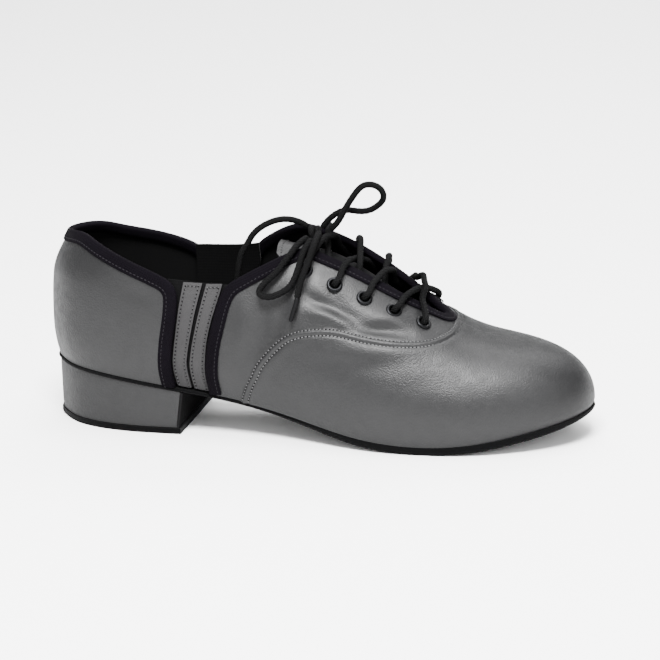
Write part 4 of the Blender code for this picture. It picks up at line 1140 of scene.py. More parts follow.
@dataclass
class Upper:
    """The leather panels and the lining behind them.

    Attributes:
        leather: depth of the leather's inner face under the form.
        leather_top, vamp_top: heights of the outer face of the quarters and of the vamp.
        lining_top: height of the lining's outer face.
        hole_radius: of a lace hole in the leather.
        seam_relief: swells and grooves by the seam, as height, distance and spread.
    """

    mesher: Mesher
    leather: float = 0.9
    leather_top: float = -0.3
    vamp_top: float = 0.3
    lining_top: float = -1.05
    hole_radius: float = 3.1
    seam_relief: tuple = (
        (0.42, 2.3, 1.0), (-0.32, 0.8, 0.42), (-0.32, 4.0, 0.5), (-0.34, 0.0, 0.35), (0.16, 6.5, 2.0),
    )

    def __post_init__(self) -> None:
        """Finds the seams, the bound edges and the lace holes."""
        self.seam = {
            LATERAL: FORM.edge(SEAM_LATERAL, LATERAL, 0.8),
            MEDIAL: FORM.edge(SEAM_MEDIAL, MEDIAL, 0.8),
        }
        self.seam_line = np.vstack([FORM.at(s[:, 0], s[:, 1]) for s in self.seam.values()])
        self.holes = []
        for side, holes in ((LATERAL, HOLES_LATERAL), (MEDIAL, HOLES_MEDIAL)):
            for station, up in holes:
                self.holes.append(FORM.at(FORM.round_of(station, side), up))
        lines = [FORM.edge(REAR_LATERAL, LATERAL), FORM.edge(REAR_MEDIAL, MEDIAL),
                 FORM.edge(FRONT_LATERAL, LATERAL), FORM.edge(FRONT_MEDIAL, MEDIAL)]
        self.rim_line = np.vstack([FORM.at(line[:, 0], line[:, 1]) for line in lines])

    def build(self) -> None:
        """Makes every panel."""
        outer = self.leather_top, -self.leather, "leather"
        inner = self.lining_top, -WALL_IN, "lining"
        self.vamp("vamp", self.vamp_top, -self.leather, "leather", 78, 1.5)
        self.vamp("vamp_lining", *inner, 30, 3.5)
        for side, word in WORDS.items():
            self.quarter("quarter_" + word, side, *outer, 96, 46)
            self.quarter("quarter_lining_" + word, side, *inner, 56, 20)
        self.counter("heel_quarter", *outer, 150, 44)
        self.counter("heel_lining", *inner, 80, 22)

    def sheet(
            self, name: str, grid: Array, high: float, low: float, finish: str, weld: float = 0.0,
            vamp: bool = False, holes: bool = False,
    ) -> Thing:
        """One panel over a grid of places on the form.

        Args:
            name: piece name.
            grid: round share and up of each place.
            high, low: heights of its two faces.
            finish: name of its finish.
            weld: places closer than this are made one.
            vamp, holes: whether it is the vamp, and whether it has lace holes.

        Returns:
            The object.
        """
        rows, cols = grid.shape[:2]
        flat = grid.reshape(-1, 2)
        p, n, _, _ = FORM.frame(flat[:, 0], flat[:, 1])
        relief = bumps(p, flat[:, 0])
        if finish != "leather":
            relief = np.where(relief < 0.0, relief * 1.25, 0.0)
        relief = relief * smooth(flat[:, 1] / 0.14)
        if vamp:
            relief = relief * smooth((1.0 - flat[:, 1]) / 0.2)
        if vamp and finish == "leather":
            d = distance(p, self.seam_line)
            relief = relief * smooth(d / 4.0)
            for height, far, wide in self.seam_relief:
                relief += height * np.exp(-((d - far) / wide) ** 2)
        elif finish == "leather":
            d = distance(p, self.seam_line)
            relief = relief * smooth((d + 1.5) / 4.0)
        if finish == "leather":
            rim = distance(p, self.rim_line)
            relief = relief * smooth((rim - 1.0) / 7.0)
        outer = p + n * (high + relief)[:, None]
        inner = p + n * (low + relief)[:, None]
        k = np.stack([np.cumsum(np.full(rows, 1.5))[:, None] + np.zeros((1, cols)),
                      np.zeros((rows, 1)) + np.cumsum(np.full(cols, 1.5))[None]], -1).reshape(-1, 2)
        skip = None
        if holes:
            spots = np.array(self.holes)

            def skip(mid: Array) -> Array:
                """Tells which face middles lie in a lace hole."""
                return np.sqrt(((mid[:, None] - spots[None]) ** 2).sum(-1).min(1)) < self.hole_radius

        obj = self.mesher.slab(name, outer, inner, rows, cols, finish, k, skip, weld)
        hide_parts("upper")
        return obj

    def vamp(
            self, name: str, high: float, low: float, finish: str, rows: int, step: float,
    ) -> Thing:
        """The vamp, from the seam over the toe, both sides in one sheet.

        Args:
            name: piece name.
            high, low, finish: as in sheet.
            rows: places from the sole up.
            step: distance between columns.

        Returns:
            The object.
        """
        seam = FORM.edge(SEAM_LATERAL, LATERAL, step)
        start, end = seam[2, 0], FORM.toe_u
        around = FORM.at(np.linspace(seam[-1, 0], end, 400), 0.1)
        length = np.linalg.norm(np.diff(around, axis=0), axis=1).sum()
        tail = np.linspace(seam[-1, 0], end, int(length / step) + 2)[1:]
        u_l = np.concatenate([np.linspace(seam[0, 0] + 2e-4, start, 4)[:-1], seam[2:, 0], tail])
        t = np.clip(FORM.ring(u_l)[:, 0] / LENGTH, 0, 1)
        u_m = np.maximum(FORM.round_of(t, MEDIAL), end)
        u_m[-1] = end
        s = 1 - (1 - np.linspace(0, 1, rows)) ** 1.35
        cols = []
        for u, line in ((u_l, self.seam[LATERAL]), (u_m[::-1][1:], self.seam[MEDIAL])):
            order = np.argsort(line[:, 0])
            top = np.interp(u, line[order, 0], line[order, 1])
            if line is self.seam[LATERAL]:
                top = np.where(u > line[-1, 0], 1.0, top)
            else:
                top = np.where(u < line[-1, 0], 1.0, top)
            cols.append(np.stack([np.repeat(u[None], rows, 0), s[:, None] * top[None]], -1))
        return self.sheet(name, np.concatenate(cols, 1), high, low, finish, 0.02, True)

    def quarter(
            self, name: str, side: int, high: float, low: float, finish: str, cols: int, rows: int,
    ) -> Thing:
        """A front quarter, from the gore's edge by the collar and the facing to the throat.

        Args:
            name: piece name.
            side: LATERAL or MEDIAL.
            high, low, finish: as in sheet.
            cols, rows: size of its grid.

        Returns:
            The object.
        """
        rim = FORM.edge(FRONT_LATERAL if side < 0 else FRONT_MEDIAL, side, 0.8)
        seam = self.seam[side]
        _, _, across = away_from(seam, side)
        hidden = FORM.walk(seam, across, 3.4)
        hidden[-1, 1] = 1.0
        foot = np.stack([np.linspace(rim[0, 0], hidden[0, 0], 16), np.zeros(16)], -1)
        base = np.vstack([foot, hidden[hidden[:, 1] > 0.01]])
        top = evenly(rim, cols)
        low_line = evenly(base, cols)
        s = np.linspace(0, 1, rows)[:, None, None]
        grid = low_line[None] * (1 - s) + top[None] * s
        return self.sheet(name, grid, high, low, finish, 0.0, False, True)

    def counter(
            self, name: str, high: float, low: float, finish: str, cols: int, rows: int,
    ) -> Thing:
        """The heel part, from gore to gore round the back.

        Args:
            name: piece name.
            high, low, finish: as in sheet.
            cols, rows: size of its grid.

        Returns:
            The object.
        """
        left = FORM.edge(REAR_MEDIAL, MEDIAL, 0.8)
        left[:, 0] = np.where(left[:, 0] > 0.5, left[:, 0] - 1.0, left[:, 0])
        right = FORM.edge(REAR_LATERAL, LATERAL, 0.8)
        rim = np.vstack([left[::-1], right[1:]])
        base = np.stack([np.linspace(rim[0, 0], rim[-1, 0], 200), np.zeros(200)], -1)
        s = np.linspace(0, 1, rows)[:, None, None]
        grid = evenly(base, cols)[None] * (1 - s) + evenly(rim, cols)[None] * s
        return self.sheet(name, grid, high, low, finish)


@dataclass
class Bindings:
    """Folded tape over the cut edges, swept along them.

    Attributes:
        section: distance into the leather and height over the form, round the fold.
        stitch_in, stitch_high: where the stitches run.
        rows: the stitch lines, filled by build.
    """

    mesher: Mesher
    section: tuple = (
        (5.75, 0.16), (5.8, 0.34), (5.6, 0.52), (5.0, 0.6), (4.0, 0.66), (2.6, 0.72), (1.2, 0.72),
        (0.2, 0.62),
        (-0.45, 0.34), (-0.85, -0.1), (-1.0, -0.8), (-1.0, -1.7), (-0.75, -2.45), (-0.2, -2.9),
        (0.6, -3.05), (2.4, -3.05), (4.0, -3.02), (4.2, -2.85), (4.1, -2.6), (2.0, -2.5), (0.4, -2.5),
        (-0.2, -2.4), (-0.45, -1.9), (-0.45, -0.4), (-0.3, 0.0), (0.4, 0.12), (3.0, 0.14),
    )
    stitch_in: float = 4.1
    stitch_high: float = 0.62
    step: float = 1.5
    rows: list = field(default_factory=list)

    def build(self) -> None:
        """Makes the rear and the front tape."""
        left = FORM.edge(REAR_MEDIAL, MEDIAL, self.step)
        left[:, 0] = np.where(left[:, 0] > 0.5, left[:, 0] - 1.0, left[:, 0])
        right = FORM.edge(REAR_LATERAL, LATERAL, self.step)
        rear = np.vstack([left[::-1], right[1:]])
        rear = rear[rear[:, 1] > 0.0]
        self.sweep("rear_tape", "rear_binding", *self.ways(rear, -1.0))
        a = FORM.edge(FRONT_LATERAL, LATERAL, self.step)
        b = FORM.edge(FRONT_MEDIAL, MEDIAL, self.step)
        a = a[a[:, 1] > 0.0]
        b = b[b[:, 1] > 0.0]
        uv_a, p_a, n_a, w_a = self.ways(a, -1.0)
        uv_b, p_b, n_b, w_b = self.ways(b, 1.0)
        n_b[-1] = n_a[-1] = (n_a[-1] + n_b[-1]) / np.linalg.norm(n_a[-1] + n_b[-1])
        ahead = np.array([1.0, 0.0, 0.0])
        ahead = ahead - n_a[-1] * ahead.dot(n_a[-1])
        w_a[-1] = ahead / np.linalg.norm(ahead)
        # the last places turn gently to point ahead over the ridge
        for k, share in ((2, 0.6), (3, 0.3)):
            for w in (w_a, w_b):
                w[-k] = w[-k] * (1 - share) + w_a[-1] * share
                w[-k] /= np.linalg.norm(w[-k])
        self.sweep(
            "front_tape", "front_binding",
            np.vstack([uv_a, uv_b[::-1][1:]]), np.vstack([p_a, p_b[::-1][1:]]),
            np.vstack([n_a, n_b[::-1][1:]]), np.vstack([w_a, w_b[::-1][1:]]),
        )

    @staticmethod
    def ways(uv: Array, sign: float) -> tuple[Array, Array, Array, Array]:
        """Places, normals and directions into the leather along an edge."""
        p, n, across = away_from(uv, sign)
        return uv, p, n, across

    def sweep(self, name: str, node: str, uv: Array, p: Array, n: Array, across: Array) -> None:
        """One tape along an edge.

        Args:
            name, node: piece name and the frame's node it stands for.
            uv: round shares and ups.
            p, n, across: its places, normals and ways into the leather.
        """
        flat = {}
        for d in sorted({d for d, _ in self.section if d > 0.9} | {self.stitch_in}):
            q = FORM.walk(uv, across, d)
            flat[d] = FORM.frame(q[:, 0], q[:, 1])[:2]
        stations = []
        for i in range(len(uv)):
            row = []
            for d, h in self.section:
                if d in flat:
                    row.append(flat[d][0][i] + flat[d][1][i] * h)
                else:
                    row.append(p[i] + across[i] * d + n[i] * h)
            stations.append(row)
        k = along(p)
        section = np.array(self.section)
        c = along(section)
        uvs = np.stack(np.broadcast_arrays(k[:, None], c[None, :]), -1).reshape(-1, 2)
        obj = self.mesher.loft(name, stations, "tape", uvs, sharp=60.0)
        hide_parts(node)
        q, m = flat[self.stitch_in]
        self.rows.append(q + m * self.stitch_high)


@dataclass
class Gores:
    """Elastic panels behind the notches, each with two leather strips.

    Attributes:
        elastic_depth, strip_depth: outer and inner face of each under the form.
        behind: how far the elastic reaches under the leather, as a station.
        rib: height of its ribs.
        short: how far a strip's top stays under the elastic's.
        thread_over: height of the stitches over a strip.
        rows: the stitch lines, filled by build.
    """

    mesher: Mesher
    elastic_depth: tuple = (3.45, 4.2)
    strip_depth: tuple = (2.08, 3.05)
    behind: float = 0.016
    rib: float = 0.1
    short: float = 0.007
    thread_over: float = 0.14
    rows: list = field(default_factory=list)

    @staticmethod
    def top(side: int, station: float) -> float:
        """Up of the elastic's top edge at a station."""
        s0, v0, s1, v1 = GORE_TOP[side]
        return v0 + (v1 - v0) * (station - s0) / (s1 - s0)

    def build(self) -> None:
        """Makes both sides."""
        for side, word in WORDS.items():
            self.elastic(side, word)
            table = np.array(STRIPS)
            for number, (a, b) in enumerate(((1, 2), (3, 4)), 1):
                left = Spline(table[:, 0], table[:, a])
                right = Spline(table[:, 0], table[:, b])
                self.strip(side, "%s_%d" % (word, number), left, right)

    def elastic(self, side: int, word: str) -> None:
        """One ribbed panel.

        Args:
            side: LATERAL or MEDIAL.
            word: the side's name.
        """
        rear = np.array(REAR_LATERAL if side < 0 else REAR_MEDIAL)[::-1]
        front = np.array(FRONT_LATERAL if side < 0 else FRONT_MEDIAL)
        rear_of = Spline(rear[:7, 1], rear[:7, 0] - self.behind)
        front_of = Spline(front[:8, 1], front[:8, 0] + self.behind)
        rows, cols = 40, 76
        grid = np.zeros((rows, cols, 2))
        for i, k in enumerate(np.linspace(0, 1, rows)):
            for j, c in enumerate(np.linspace(0, 1, cols)):
                v = FOOT + k * (0.45 - FOOT)
                s = rear_of(min(v, 0.40)) * (1 - c) + front_of(v) * c
                v = FOOT + k * (self.top(side, s) + GORE_OVER[side] - FOOT)
                s = rear_of(min(v, 0.40)) * (1 - c) + front_of(min(v, 0.55)) * c
                grid[i, j] = FORM.round_of(s, side), v
        flat = grid.reshape(-1, 2)
        p, n, _, _ = FORM.frame(flat[:, 0], flat[:, 1])
        rib = self.rib * np.cos(np.arange(cols) * np.pi)
        high = (-self.elastic_depth[0] + np.tile(rib, rows))[:, None]
        outer, inner = p + n * high, p - n * self.elastic_depth[1]
        k = np.stack(np.meshgrid(np.arange(cols) * 0.55, np.arange(rows) * 1.3), -1).reshape(-1, 2)
        obj = self.mesher.slab("elastic_" + word, outer, inner, rows, cols, "elastic", k, sharp=80.0)
        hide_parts("gore_" + word)

    def strip(self, side: int, word: str, left: Spline, right: Spline) -> None:
        """One leather strip with its stitch rows.

        Args:
            side: LATERAL or MEDIAL.
            word: end of the piece's name.
            left, right: station of each edge by up.
        """
        rows, cols = 46, 12
        grid = np.zeros((rows, cols, 2))
        for i, k in enumerate(np.linspace(0, 1, rows)):
            for j, c in enumerate(np.linspace(0, 1, cols)):
                top = self.top(side, float(left(0.5) * (1 - c) + right(0.5) * c))
                v = FOOT + k * (top - self.short - FOOT)
                share = 0.04 + 0.92 * c
                grid[i, j] = FORM.round_of(left(v) * (1 - share) + right(v) * share, side), v
        flat = grid.reshape(-1, 2)
        p, n, _, _ = FORM.frame(flat[:, 0], flat[:, 1])
        # the strip swells in the middle and is drawn down along its two stitch lines
        across = 2 * np.linspace(0, 1, cols) - 1
        swell = 0.22 * (1 - across ** 6) - 0.16 * np.exp(-((np.abs(across) - 0.68) / 0.12) ** 2)
        high = (-self.strip_depth[0] + np.tile(swell, rows))[:, None]
        outer, inner = p + n * high, p - n * self.strip_depth[1]
        k = np.stack(np.meshgrid(np.arange(cols) * 0.8, np.arange(rows) * 1.2), -1).reshape(-1, 2)
        obj = self.mesher.slab("strip_panel_" + word, outer, inner, rows, cols, "strip", k)
        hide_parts("strip_" + word)
        face = outer.reshape(rows, cols, 3)
        normal = n.reshape(rows, cols, 3)
        lift = self.thread_over
        up = slice(1, rows - 1)
        side_a = (face[up, 1] * 0.35 + face[up, 2] * 0.65) + normal[up, 2] * lift
        side_b = (face[up, -2] * 0.35 + face[up, -3] * 0.65) + normal[up, -3] * lift
        over = (face[-2, 2:-2] * 0.6 + face[-3, 2:-2] * 0.4) + normal[-2, 2:-2] * lift
        self.rows.append(np.vstack([side_a, over, side_b[::-1]]))


@dataclass
class Underfoot:
    """Outsole, insole and heel, as sections from the heel to the toe.

    Attributes:
        sole_rim, sock_rim, lift_rim: share of the height from the top and how far it stands out.
        sole_out: stations and how far the sole stands out at each.
        heel_in: inset of the heel at its top and at the floor.
    """

    mesher: Mesher
    sole_rim: tuple = ((0.0, -0.25), (0.1, 0.05), (0.5, 0.3), (0.9, -0.1), (1.0, -0.5))
    sock_rim: tuple = ((0.0, -0.35), (0.25, 0.0), (1.0, 0.0))
    lift_rim: tuple = ((0.0, -0.15), (0.2, 0.1), (0.75, 0.12), (1.0, -0.2))
    sole_out: tuple = ((0.0, 0.2, 0.4, 0.6, 0.8, 1.0), (0.2, 0.0, -0.6, 0.2, 0.8, 1.3))
    sock_thick: float = 2.0
    sock_in: float = WALL_IN + 0.7
    lift_in: float = 0.1
    heel_in: tuple = (0.45, 0.6)
    heel_front: float = BREAST_X - 1.6
    breast_in: float = 0.35
    breast_thick: float = 0.9

    @staticmethod
    def outline(u: Array, inset: Array) -> Array:
        """Plan places of the feather edge, moved inward.

        Args:
            u: round shares.
            inset: how far inward at each.

        Returns:
            x and y for each.
        """
        e = 2e-4
        p = FORM.at(u, np.zeros(len(u)))[:, :2]
        t = FORM.at(u + e, np.zeros(len(u)))[:, :2] - FORM.at(u - e, np.zeros(len(u)))[:, :2]
        t = unit(t)
        n = np.stack([t[:, 1], -t[:, 0]], -1)
        return p - n * np.broadcast_to(inset, (len(u),))[:, None]

    @staticmethod
    def feather(x: Array) -> Array:
        """Height of the feather edge at x."""
        return FORM.feather(np.clip(np.asarray(x) / LENGTH, 0, 1))

    @staticmethod
    def bottom(x: Array) -> Array:
        """Height of the sole's underside at x."""
        t = np.clip(np.asarray(x) / LENGTH, 0, 1)
        return np.maximum(FORM.feather(t) - FORM.sole(t), 0.0)

    def slab(
            self, name: str, node: str, finish: str, last: float, rims: tuple, top: Heights,
            bottom: Heights, inset: Heights, count: int, across: int, cut: float = np.inf,
    ) -> Thing:
        """A layer between two surfaces that bend along the shoe only.

        Args:
            name, node: piece name and the frame's node it stands for.
            finish: name of its finish.
            last: station of its front end.
            rims: (share of the height from the top, how far it stands out) from top to bottom.
            top, bottom: heights by x.
            inset: distance in from the feather edge by station.
            count, across: sections and places across each.
            cut: front end in x where it is cut straight.

        Returns:
            The object.
        """
        end = FORM.toe_u if last >= 1 else float(FORM.round_of(last, LATERAL))
        u_l = end * np.linspace(0.003, 1, count)
        u_l = np.concatenate([end * np.linspace(0.0005, 0.04, 6), u_l[u_l > end * 0.045]])
        if last >= 1:
            tip = end - (end - u_l[-8]) * np.linspace(1, 0.002, 16)
            u_l = np.concatenate([u_l[:-8], tip])
        t = np.clip(FORM.ring(u_l)[:, 0] / LENGTH, 0, 1)
        u_m = FORM.round_of(t, MEDIAL)
        near, far = ({rim: self.outline(u, inset(t) - rim[1]) for rim in rims} for u in (u_l, u_m))
        stations = []
        for i in range(len(u_l)):
            row = []
            for start, goal, order, height in ((near, far, rims, bottom), (far, near, rims[::-1], top)):
                for rim in order:
                    x, y = start[rim][i]
                    x = min(x, cut)
                    row.append((x, y, float(top(x)) * (1 - rim[0]) + float(bottom(x)) * rim[0]))
                a, b = start[order[-1]][i], goal[order[-1]][i]
                for c in np.linspace(0, 1, across)[1:-1]:
                    x, y = a * (1 - c) + b * c
                    x = min(x, cut)
                    row.append((x, y, float(height(x))))
            stations.append(row)
        stations = np.array(stations)
        flat = stations.reshape(-1, 3)[:, :2]
        obj = self.mesher.loft(name, stations, finish, flat, sharp=32.0)
        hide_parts(node)
        return obj

    def build(self) -> None:
        """Makes all five pieces."""
        out = Spline(*self.sole_out)
        seat = MARGIN_THICK + GAP
        self.slab("sole_leather", "outsole", "suede", 1.0, self.sole_rim, self.seat(-GAP), self.bottom,
                  lambda t: -out(t), 220, 11)
        self.slab("sock", "insole", "sock", 1.0, self.sock_rim, self.seat(seat + self.sock_thick),
                  self.seat(seat), self.level(self.sock_in), 150, 13)
        self.block()
        lift_front = BREAST_X - BREAST_LEAN
        self.slab("top_piece", "heel_lift", "suede", (lift_front + 0.9) / LENGTH, self.lift_rim,
                  self.level(LIFT_THICK), self.level(0.0), self.level(self.lift_in), 90, 7, lift_front + 0.6)
        self.breast()

    def seat(self, height: float) -> Heights:
        """Heights that follow the feather edge."""
        return lambda x: self.feather(x) + height

    @staticmethod
    def level(height: float) -> Heights:
        """The same value everywhere."""
        return lambda x: np.full(np.shape(x), height)

    def under(self, x: Array) -> Array:
        """Height of the heel's top, just under the sole."""
        return self.bottom(x) - GAP

    def block(self) -> None:
        """The covered heel, its front leaning back towards the floor."""
        front = self.heel_front
        end_l = float(FORM.round_of((front + 1.0) / LENGTH, LATERAL))
        w = np.concatenate([np.linspace(0.001, 0.05, 8), np.linspace(0.06, 1, 70)])
        u_l = end_l * w
        t = np.clip(FORM.ring(u_l)[:, 0] / LENGTH, 0, 1)
        u_m = FORM.round_of(t, MEDIAL)
        levels = np.linspace(0, 1, 9)
        stations = []
        for side_u in (u_l, u_m):
            ring_top = self.outline(side_u, self.heel_in[0])
            ring_low = self.outline(side_u, self.heel_in[1])
            rows = []
            for i in range(len(side_u)):
                row = []
                for s in levels:
                    x, y = ring_top[i] * (1 - s) + ring_low[i] * s
                    x = min(x, front)
                    x -= BREAST_LEAN * s * float(smooth((x - 40) / (front - 40)))
                    soft = 0.3 * (max(0.0, abs(s - 0.5) - 0.44) / 0.06) ** 2
                    y += soft if y < 0 else -soft
                    z = float(self.under(min(x, front))) * (1 - s) + (LIFT_THICK + GAP) * s
                    row.append((x, y, z))
                rows.append(row)
            stations.append(rows)
        a, b = np.array(stations[0]), np.array(stations[1])
        joined = []
        for i in range(len(a)):
            low_mid = [a[i, -1] * (1 - c) + b[i, -1] * c for c in (0.25, 0.5, 0.75)]
            top_mid = [b[i, 0] * (1 - c) + a[i, 0] * c for c in (0.25, 0.5, 0.75)]
            joined.append(np.vstack([a[i], low_mid, b[i][::-1], top_mid]))
        obj = self.mesher.loft("heel_cover", joined, "heel", sharp=35.0)
        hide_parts("heel_block")

    def breast(self) -> None:
        """The thin cover on the heel's front."""
        back = self.heel_front + GAP
        ends = [FORM.round_of(self.heel_front / LENGTH, side) for side in (LATERAL, MEDIAL)]
        y0, y1 = np.sort(self.outline(np.array(ends), self.breast_in)[:, 1])
        up = float(self.under(BREAST_X))
        down = LIFT_THICK + GAP
        face = back + self.breast_thick
        section = (
            (back, up), (face, up), (face + 0.25, up - 0.4), (face + 0.25 - BREAST_LEAN, down + 0.3),
            (face - BREAST_LEAN, down), (back - BREAST_LEAN, down),
        )
        rows = [[(x, y, z) for x, z in section] for y in np.linspace(y0, y1, 12)]
        obj = self.mesher.loft("breast_cover", rows, "breast", sharp=30.0)
        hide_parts("heel_breast")


class Seeker:
    """Finds places on the form over plan points."""

    def __init__(self) -> None:
        """Lays a net of places over the form."""
        self.u, self.v = np.meshgrid(np.linspace(0.05, 0.95, 361), np.linspace(0.30, 1.0, 141))
        self.p = FORM.at(self.u, self.v)

    def place(self, x: float, y: float) -> tuple[float, float]:
        """Round and up of the form over a plan point.

        Args:
            x, y: the plan point.

        Returns:
            Round share and up.
        """
        lateral = y < FORM.centre(x / LENGTH)
        side = self.u < FORM.toe_u if lateral else self.u >= FORM.toe_u
        d = np.hypot(self.p[..., 0] - x, self.p[..., 1] - y) + np.where(side, 0, 1e6)
        k = np.unravel_index(d.argmin(), d.shape)
        u, v = self.u[k], self.v[k]
        for _ in range(6):
            p = FORM.at(u, v)
            lo = max(v - 1e-3, 0.0)
            su = (FORM.at(u + 1e-3, v) - FORM.at(u - 1e-3, v)) / 2e-3
            sv = (p - FORM.at(u, lo)) / (v - lo)
            m = np.array([[su[0], sv[0]], [su[1], sv[1]]])
            d = np.linalg.lstsq(m, np.array([x, y]) - p[:2], rcond=None)[0]
            d *= min(1.0, 0.01 / max(np.abs(d).max(), 1e-9))
            u, v = u + d[0], float(np.clip(v + d[1], 0.2, 1.0))
        return u, v

    def over(self, x: float, y: float, height: float) -> Array:
        """A place at a height over the form above a plan point.

        Args:
            x, y: the plan point.
            height: over the form.

        Returns:
            The place.
        """
        u, v = self.place(x, y)
        p, n, _, _ = FORM.frame(np.array([u]), np.array([v]))
        return p[0] + n[0] * height


@dataclass
class Tongue:
    """The tongue under the facings.

    Attributes:
        outline: x, y of each edge and height over the form, from the toe back.
        thick, leather: thickness in all and of its upper layer.
        cap: sections of the leather end.
        rows: the stitch lines, filled by build.
    """

    mesher: Mesher
    seeker: Seeker
    outline: tuple = (
        (228.0, -13.0, 21.0, -2.5), (218.0, -17.0, 25.0, -4.3), (208.0, -22.0, 29.0, -7.2),
        (190.0, -25.0, 31.5, -8.6), (175.0, -26.5, 33.0, -9.2), (160.0, -26.5, 33.0, -9.2),
        (148.0, -24.5, 31.0, -10.0), (140.0, -22.5, 28.0, -11.2), (134.0, -19.5, 24.0, -11.6),
        (129.0, -15.5, 19.0, -11.6), (125.5, -11.5, 14.0, -11.6),
    )
    thick: float = 1.6
    leather: float = 0.95
    cap: int = 9
    rows: list = field(default_factory=list)

    def build(self) -> None:
        """Makes the face, black as painted shade under the lacing and grey leather at its free end, and the
        lining.
        """
        table = np.array(self.outline)[::-1]
        curve = Spline(table[:, 0], table[:, 1:])
        count, across = 44, 22
        face, normal = [], []
        for x in np.linspace(table[-1, 0], table[0, 0], count):
            a, b, depth = curve(x)
            for y in np.linspace(a, b, across):
                u, v = self.seeker.place(x, y)
                p, n, _, _ = FORM.frame(np.array([u]), np.array([v]))
                face.append(p[0] + n[0] * depth)
                normal.append(n[0])
        face, normal = np.array(face), np.array(normal)
        cut = (count - self.cap) * across
        # the face under the lacing is grey leather but takes the black lining finish: painted shade for the
        # deep shade it lies in; only the free end shows as leather
        parts = (("tongue_face_painted_shade", 0, cut, "lining"), ("tongue_end", cut - across, len(face), "leather"))
        for name, first, last, finish in parts:
            f, n = face[first:last], normal[first:last]
            lift = n * (0.12 if finish == "leather" else 0.0)
            low = f + lift - n * self.leather
            top = self.mesher.slab(name, f + lift, low, len(f) // across, across, finish, f[:, :2])
            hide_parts("tongue")
        high, low = face - normal * 1.0, face - normal * self.thick
        under = self.mesher.slab("tongue_lining", high, low, count, across, "lining", face[:, :2])
        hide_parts("tongue")
        g = face.reshape(count, across, 3) + normal.reshape(count, across, 3) * 0.1
        for i in (1, 3):
            self.rows.append(np.vstack([g[20:count - 1 - i // 2, i // 2 + 1], g[count - 1 - i, 2:-2],
                                        g[20:count - 1 - i // 2, -2 - i // 2][::-1]]))


@dataclass
class Eyelets:
    """Metal rings in the lace holes.

    Attributes:
        section: radius and height over the form, round the ring's section.
        around: sections round the ring.
    """

    mesher: Mesher
    section: tuple = (
        (2.2, -2.4), (2.18, -0.6), (2.2, 0.3), (2.32, 0.62), (2.6, 0.86), (3.0, 0.98), (3.4, 0.94),
        (3.8, 0.74), (4.05, 0.48), (4.1, 0.24), (3.9, 0.14), (2.7, 0.12), (2.65, -0.2), (2.65, -2.4),
    )
    around: int = 40

    def build(self) -> None:
        """Makes both rows."""
        for side, holes in ((LATERAL, HOLES_LATERAL), (MEDIAL, HOLES_MEDIAL)):
            for number, (station, up) in enumerate(holes, 1):
                u = float(FORM.round_of(station, side))
                p, n, su, _ = FORM.frame(np.array([u]), np.array([up]))
                a = su[0] / np.linalg.norm(su[0])
                b = np.cross(n[0], a)
                stations = []
                for k in range(self.around):
                    t = 2 * np.pi * k / self.around
                    d = a * np.cos(t) + b * np.sin(t)
                    stations.append([p[0] + d * r + n[0] * h for r, h in self.section])
                name = "%s_%d" % (WORDS[side], number)
                obj = self.mesher.loft("ring_" + name, stations, "metal", None, True, 50.0)
                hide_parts("eyelet_" + name)


